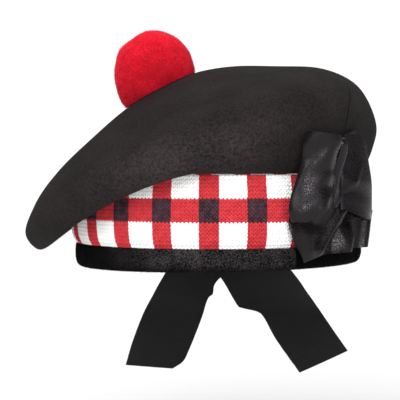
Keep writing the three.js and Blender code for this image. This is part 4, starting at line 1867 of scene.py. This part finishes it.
BOW_LOOPS = (
    BowLoop(
        name="bow_loop_front",
        side=-1,
        top_reach=27.4,
        foot_reach=35.4,
        taper=(-10, 24),
        head=(33.6, 37.6),
        foot=(-7.8, -15.8),
        drop=(0.38, 0.8),
        puff=6.7,
        crest=(0.35, 0.22),
        pressed=(0.76, 0.15),
        creases=(
            Crease(-12.3, 26.8, -32.2, 11.2, 1.5, 3.7, 7.6),
            Crease(-11.8, 38.5, -44.9, 46.0, 4.9, 12.8, 10.9),
            Crease(-13.3, 23.8, -16.5, -7.8, 1.4, 6.4, 3.4),
            Crease(-17.8, -1.3, -30.9, -10.6, 1.1, 8.2, 9.4),
            Crease(-7, 7, -18, -8, 0.6, 2.4, 2.4),
        ),
        cut=(0.054, 0.062),
        top_corner=2.5,
        foot_corner=2.5,
    ),
    BowLoop(
        name="bow_loop_back",
        side=1,
        top_reach=30.0,
        foot_reach=40.5,
        taper=(2, 34),
        head=(33.6, 38.6),
        foot=(-7.0, -16.0),
        drop=(-0.3, 0.75),
        puff=4.6,
        crest=(0.5, 0.5),
        pressed=(0.95, 0.9),
        creases=(
            Crease(4, 2, 13, 7, 0.5, 1.6, 2.4),
            Crease(13, 7, 19, 17, 0.5, 1.6, 2.4),
        ),
        cut=(0.054, 0.068),
        top_corner=13.0,
        foot_corner=2.0,
        gather=0.3,
    ),
)
BOW_TAILS = (
    BowTail(
        name="bow_tail_front",
        stations=(
            TailStation((-11, -4.6, 5.0), (11, -5.5, 6.0)),
            TailStation((-31.5, -14, 2.5), (9.5, -17, 4.3)),
            TailStation((-29.4, -26.5, 3.1), (2, -28, 1.8)),
            TailStation((-20.9, -40.4, 3.5), (-3, -35.4, 0.8)),
        ),
        creases=(
            Crease(10.9, -7.2, -7.2, -33.3, 3.3, 4.0, 3.2),
            Crease(-9.3, -16.9, -26.4, -14.7, -1.6, 6.0, 4.5),
            Crease(-22.5, -15.4, -16.3, -33.4, 1.7, 5.4, 5.2),
            Crease(-30.4, -16.3, -28.6, -33.4, 1.2, 3.2, 9.2),
            Crease(-9.9, -21.3, -11.1, -30.8, -0.3, 3.2, 3.3),
        ),
        gather=0.25,
        cut=(0.036, 0.034),
        flare=0.82,
    ),
    BowTail(
        name="bow_tail_back",
        stations=(
            TailStation((-2.5, -5, 1.5), (12, -4, 2.0)),
            TailStation((-3, -18, 1.5), (43.5, -12.5, 4.5)),
            TailStation((-6, -28, 1.3), (43.0, -23.5, 3.9)),
            TailStation((-9, -37, 0.8), (41.5, -33.2, 3.2)),
        ),
        creases=(
            Crease(1.7, -4.1, 17.1, -38.8, 1.4, 3.2, 5.7),
            Crease(18.3, -26.7, 12.7, -38.1, 5.2, 9.0, 4.4),
            Crease(27.9, -13.3, 27.6, -43.7, -1.9, 5.5, 7.8),
            Crease(41.5, -6.0, 36.4, -44.0, 5.2, 3.4, 6.1),
            Crease(2.6, -7.9, 2.4, -33.6, -2.1, 3.3, 4.3),
        ),
        gather=0.2,
        cut=(0.052, 0.030),
        flare=2.5,
    ),
)


@dataclass
class Bow:
    """The satin bow at the left temple.

    Attributes:
        knot: The roll that gathers it.
        loops: Its two loops.
        tails: Its two tails.
    """

    knot: BowKnot = BowKnot()
    loops: tuple[BowLoop, ...] = BOW_LOOPS
    tails: tuple[BowTail, ...] = BOW_TAILS

    def build(self) -> list[bpy.types.Object]:
        """Make the knot, the loops and the tails."""
        return [piece.build() for piece in (self.knot, *self.loops, *self.tails)]


@dataclass(frozen=True)
class TieStation:
    """A section of a tie.

    Attributes:
        left: Its left edge seen from the front, to the wearer's left and up.
        right: Its right edge, in the same way.
        turned: How much of its left margin is turned under.
    """

    left: Span
    right: Span
    turned: float = 0.0


@dataclass(frozen=True)
class Tie:
    """A ribbon tie, laid on the back of the binding at its upper end and hanging free below.

    Attributes:
        name: Name of the solid that it stands for.
        layer: Number of ribbons that it lies on.
        stations: Sections from the sewn end to the free end.
        cut: Width and length of the flat ribbon, in metres.
        wave: How far it ripples where it hangs.
        wave_paces: Radians of the ripple for each millimetre to the left and up.
        wave_drops: How far below the rim's foot the ripple starts, and where it is full.
        rim: How far the binding stands out from the oval.
        rest: Clearance from what it lies on.
        flat_below: Height below which it hangs flat.
        fold_radius: Radius of the turned margin's fold.
        steps, places: Points along it and across it.
    """

    name: str
    layer: int
    stations: tuple[TieStation, ...]
    cut: Span
    wave: float
    wave_paces: Span = (0.05, 0.075)
    wave_drops: Span = (6.0, 50.0)
    rim: float = -3.2
    rest: float = 0.55
    flat_below: float = -45.0
    fold_radius: float = 0.75
    steps: int = 84
    places: int = 69

    def point(self, x: np.ndarray, z: np.ndarray, out: np.ndarray) -> np.ndarray:
        """Points of the tie: it hugs the binding behind, then hangs flat below it."""
        swell = self.rim + self.rest + out
        depth = OVAL.half_depth + swell
        hugged = depth * np.sqrt(1 - np.minimum(1, x / (OVAL.half_width + swell)) ** 2)
        hug = smoothstep(z, self.flat_below, 0)
        pace_x, pace_z = self.wave_paces
        ripple = self.wave * np.sin(z * pace_z + x * pace_x) * smoothstep(-z, *self.wave_drops)
        return np.stack([x, depth + (hugged - depth) * hug + ripple, z], axis=-1)

    def build(self) -> bpy.types.Object:
        """Make the tie.

        Returns:
            The tie.
        """
        share = np.linspace(0, 1, self.steps)
        left = smooth_path(np.array([station.left for station in self.stations]), share)
        right = smooth_path(np.array([station.right for station in self.stations]), share)
        margins = [station.turned for station in self.stations]
        turned = np.interp(share, np.linspace(0, 1, len(margins)), margins)[:, None]
        wide = np.linalg.norm(left - right, axis=1)[:, None]
        place = ribbon_places(self.places)
        run = (place[None, :] + 1) / 2 * (wide + turned)
        bend = wide - self.fold_radius * np.clip(turned / 2, 0, 1)
        turn = np.clip((run - bend) / self.fold_radius, 0, math.pi)
        past = np.maximum(run - bend - self.fold_radius * math.pi, 0)
        shown = np.minimum(run, bend) + self.fold_radius * np.sin(turn) - past
        out = self.layer * (RIBBON_WALL + self.rest) + RIBBON_WALL / 2 + self.fold_radius * (1 - np.cos(turn))
        faces = []
        for half in (RIBBON_WALL / 2, -RIBBON_WALL / 2):
            part = ((shown - half * np.sin(turn)) / wide)[..., None]
            x, z = np.moveaxis(right[:, None] + (left - right)[:, None] * part, -1, 0)
            faces.append(self.point(x, z, out + half * np.cos(turn)))
        grid = two_faced(*faces)
        flat = ribbon_flat(share * self.cut[1] / MM, place, self.cut[0])
        tie = Skin(grid, flat, Ends.CAPS).build(f"{self.name}_ribbon", [RIBBON.material()])
        seat(tie, "black_ribbon", self.name)
        return tie


TIES = (
    Tie(
        name="tie_right",
        layer=0,
        stations=(
            TieStation((-17.5, 13.6), (20.5, 12.6)),
            TieStation((-25.5, 2), (12.5, -8)),
            TieStation((-37.5, -18), (-0.4, -22.2)),
            TieStation((-42, -26), (-1.8, -29)),
            TieStation((-43.5, -29), (-4.6, -31.4)),
            TieStation((-50.3, -42), (-9.5, -46)),
            TieStation((-58.4, -63), (-18.4, -68.4)),
            TieStation((-61.5, -73.5), (-22.6, -76.4)),
            TieStation((-63, -79), (-30, -81.4)),
        ),
        cut=(0.040, 0.107),
        wave=1.6,
    ),
    Tie(
        name="tie_left",
        layer=1,
        stations=(
            TieStation((-19, 9.6), (26.5, 13.0)),
            TieStation((-8, -4), (41, 2)),
            TieStation((4.6, -18.6), (57.2, -17)),
            TieStation((13.6, -33.8), (64.2, -27.2)),
            TieStation((16.6, -37.8), (67, -31)),
            TieStation((31, -42.0), (72.6, -39), 9),
            TieStation((34, -44.6), (75, -42.5), 10),
            TieStation((43.2, -61), (84.2, -56), 10),
            TieStation((59.9, -84.6), (93.4, -69.1), 12),
        ),
        cut=(0.050, 0.118),
        wave=1.4,
    ),
)


@dataclass(frozen=True)
class SoftLight:
    """A broad soft light.

    Attributes:
        name: Name of the light.
        azimuth: Side that it shines from, 0 at the camera and 90 at the wearer's left, in degrees.
        elevation: Height above the horizon, in degrees.
        strength: Its strength.
        soft_deg: How broad it looks from the hat.
    """

    name: str
    azimuth: float
    elevation: float
    strength: float
    soft_deg: float

    def hang(self) -> None:
        """Put the light in the scene."""
        data = bpy.data.lights.new(self.name, "SUN")
        data.energy, data.angle = self.strength, math.radians(self.soft_deg)
        a, e = math.radians(self.azimuth), math.radians(self.elevation)
        away = Vector((math.sin(a) * math.cos(e), -math.cos(a) * math.cos(e), math.sin(e)))
        light = bpy.data.objects.new(self.name, data)
        light.rotation_mode = "QUATERNION"
        light.rotation_quaternion = away.to_track_quat("Z", "Y")
        light.location = away
        bpy.context.scene.collection.objects.link(light)


@dataclass
class Studio:
    """The plain pale floor, the soft light and the camera. Its lengths are in metres.

    Attributes:
        floor_z: Height of the floor.
        floor_reach, floor_thick, floor_sides: Radius, thickness and sides of the floor.
        camera_at: Place of the camera.
        camera_pitch_deg: How far it looks down.
        lens_mm, sensor_mm: Its lens and the width of its picture plane.
        near: Nearest distance that it sees.
        fill: Strength of the surroundings' light.
        backdrop: How much brighter the surroundings are where they are seen.
        lights: The lights.
    """

    floor_z: float = -0.14
    floor_reach: float = 6.0
    floor_thick: float = 0.02
    floor_sides: int = 64
    camera_at: Triple = (-0.0107, -1.140, 0.075)
    camera_pitch_deg: float = 1.75
    lens_mm: float = 158.9
    sensor_mm: float = 36.0
    near: float = 0.01
    fill: float = 0.12
    backdrop: float = 0.95
    lights: tuple[SoftLight, ...] = (
        SoftLight("key_light", -15, 38, 3.1, 50),
        SoftLight("sheen_light", 18, 5.5, 0.75, 9),
        SoftLight("top_light", 10, 82, 0.8, 60),
        SoftLight("back_light", 165, 42, 0.8, 50),
    )

    def camera(self) -> None:
        """Set the camera at the photograph's angle."""
        data = bpy.data.cameras.new("front_camera")
        data.lens, data.sensor_width, data.clip_start = self.lens_mm, self.sensor_mm, self.near
        camera = bpy.data.objects.new("front_camera", data)
        camera.location = self.camera_at
        camera.rotation_euler = (math.radians(90 - self.camera_pitch_deg), 0.0, 0.0)
        bpy.context.scene.collection.objects.link(camera)
        bpy.context.scene.camera = camera

    def surroundings(self) -> None:
        """Make the pale surroundings, seen white and giving a soft fill."""
        world = bpy.data.worlds.new("studio_white")
        world.use_nodes = True
        world.node_tree.nodes.clear()
        work = NodeWork(world.node_tree)
        seen = work.node("ShaderNodeLightPath")["Is Camera Ray"]
        inputs = {"Color": grey(1.0), "Strength": self.fill + self.backdrop * seen}
        fill = work.node("ShaderNodeBackground", None, inputs)
        work.node("ShaderNodeOutputWorld", None, {"Surface": fill["Background"]})
        bpy.context.scene.world = world

    def floor(self) -> None:
        """Lay the pale floor, a shallow round plate."""
        sides, reach = self.floor_sides, self.floor_reach
        turn = np.linspace(0, 2 * math.pi, sides, endpoint=False)
        heights = (self.floor_z, self.floor_z - self.floor_thick)
        points = [(reach * math.cos(t), reach * math.sin(t), z) for z in heights for t in turn]
        faces = [list(range(sides)), list(range(2 * sides - 1, sides - 1, -1))]
        faces += [[i, sides + i, sides + (i + 1) % sides, (i + 1) % sides] for i in range(sides)]
        mesh = bpy.data.meshes.new("studio_floor")
        mesh.from_pydata(points, [], faces)
        mesh.materials.append(FLOOR.material())
        new_object("studio_floor", mesh)

    def build(self) -> None:
        """Set up the studio."""
        self.camera()
        self.surroundings()
        self.floor()
        for light in self.lights:
            light.hang()
        bpy.context.scene.view_settings.view_transform = "Standard"


def main() -> None:
    """Build the bonnet's pieces in order, then the studio."""
    logging.basicConfig(level=logging.INFO, format="%(name)s: %(message)s")
    crown = Crown()
    felt = crown.build()
    DicedBand().build()
    EdgeBinding().build()
    Toorie(crown).build(felt)
    Bow().build()
    for tie in TIES:
        tie.build()
    Studio().build()


if __name__ == "__main__":
    main()
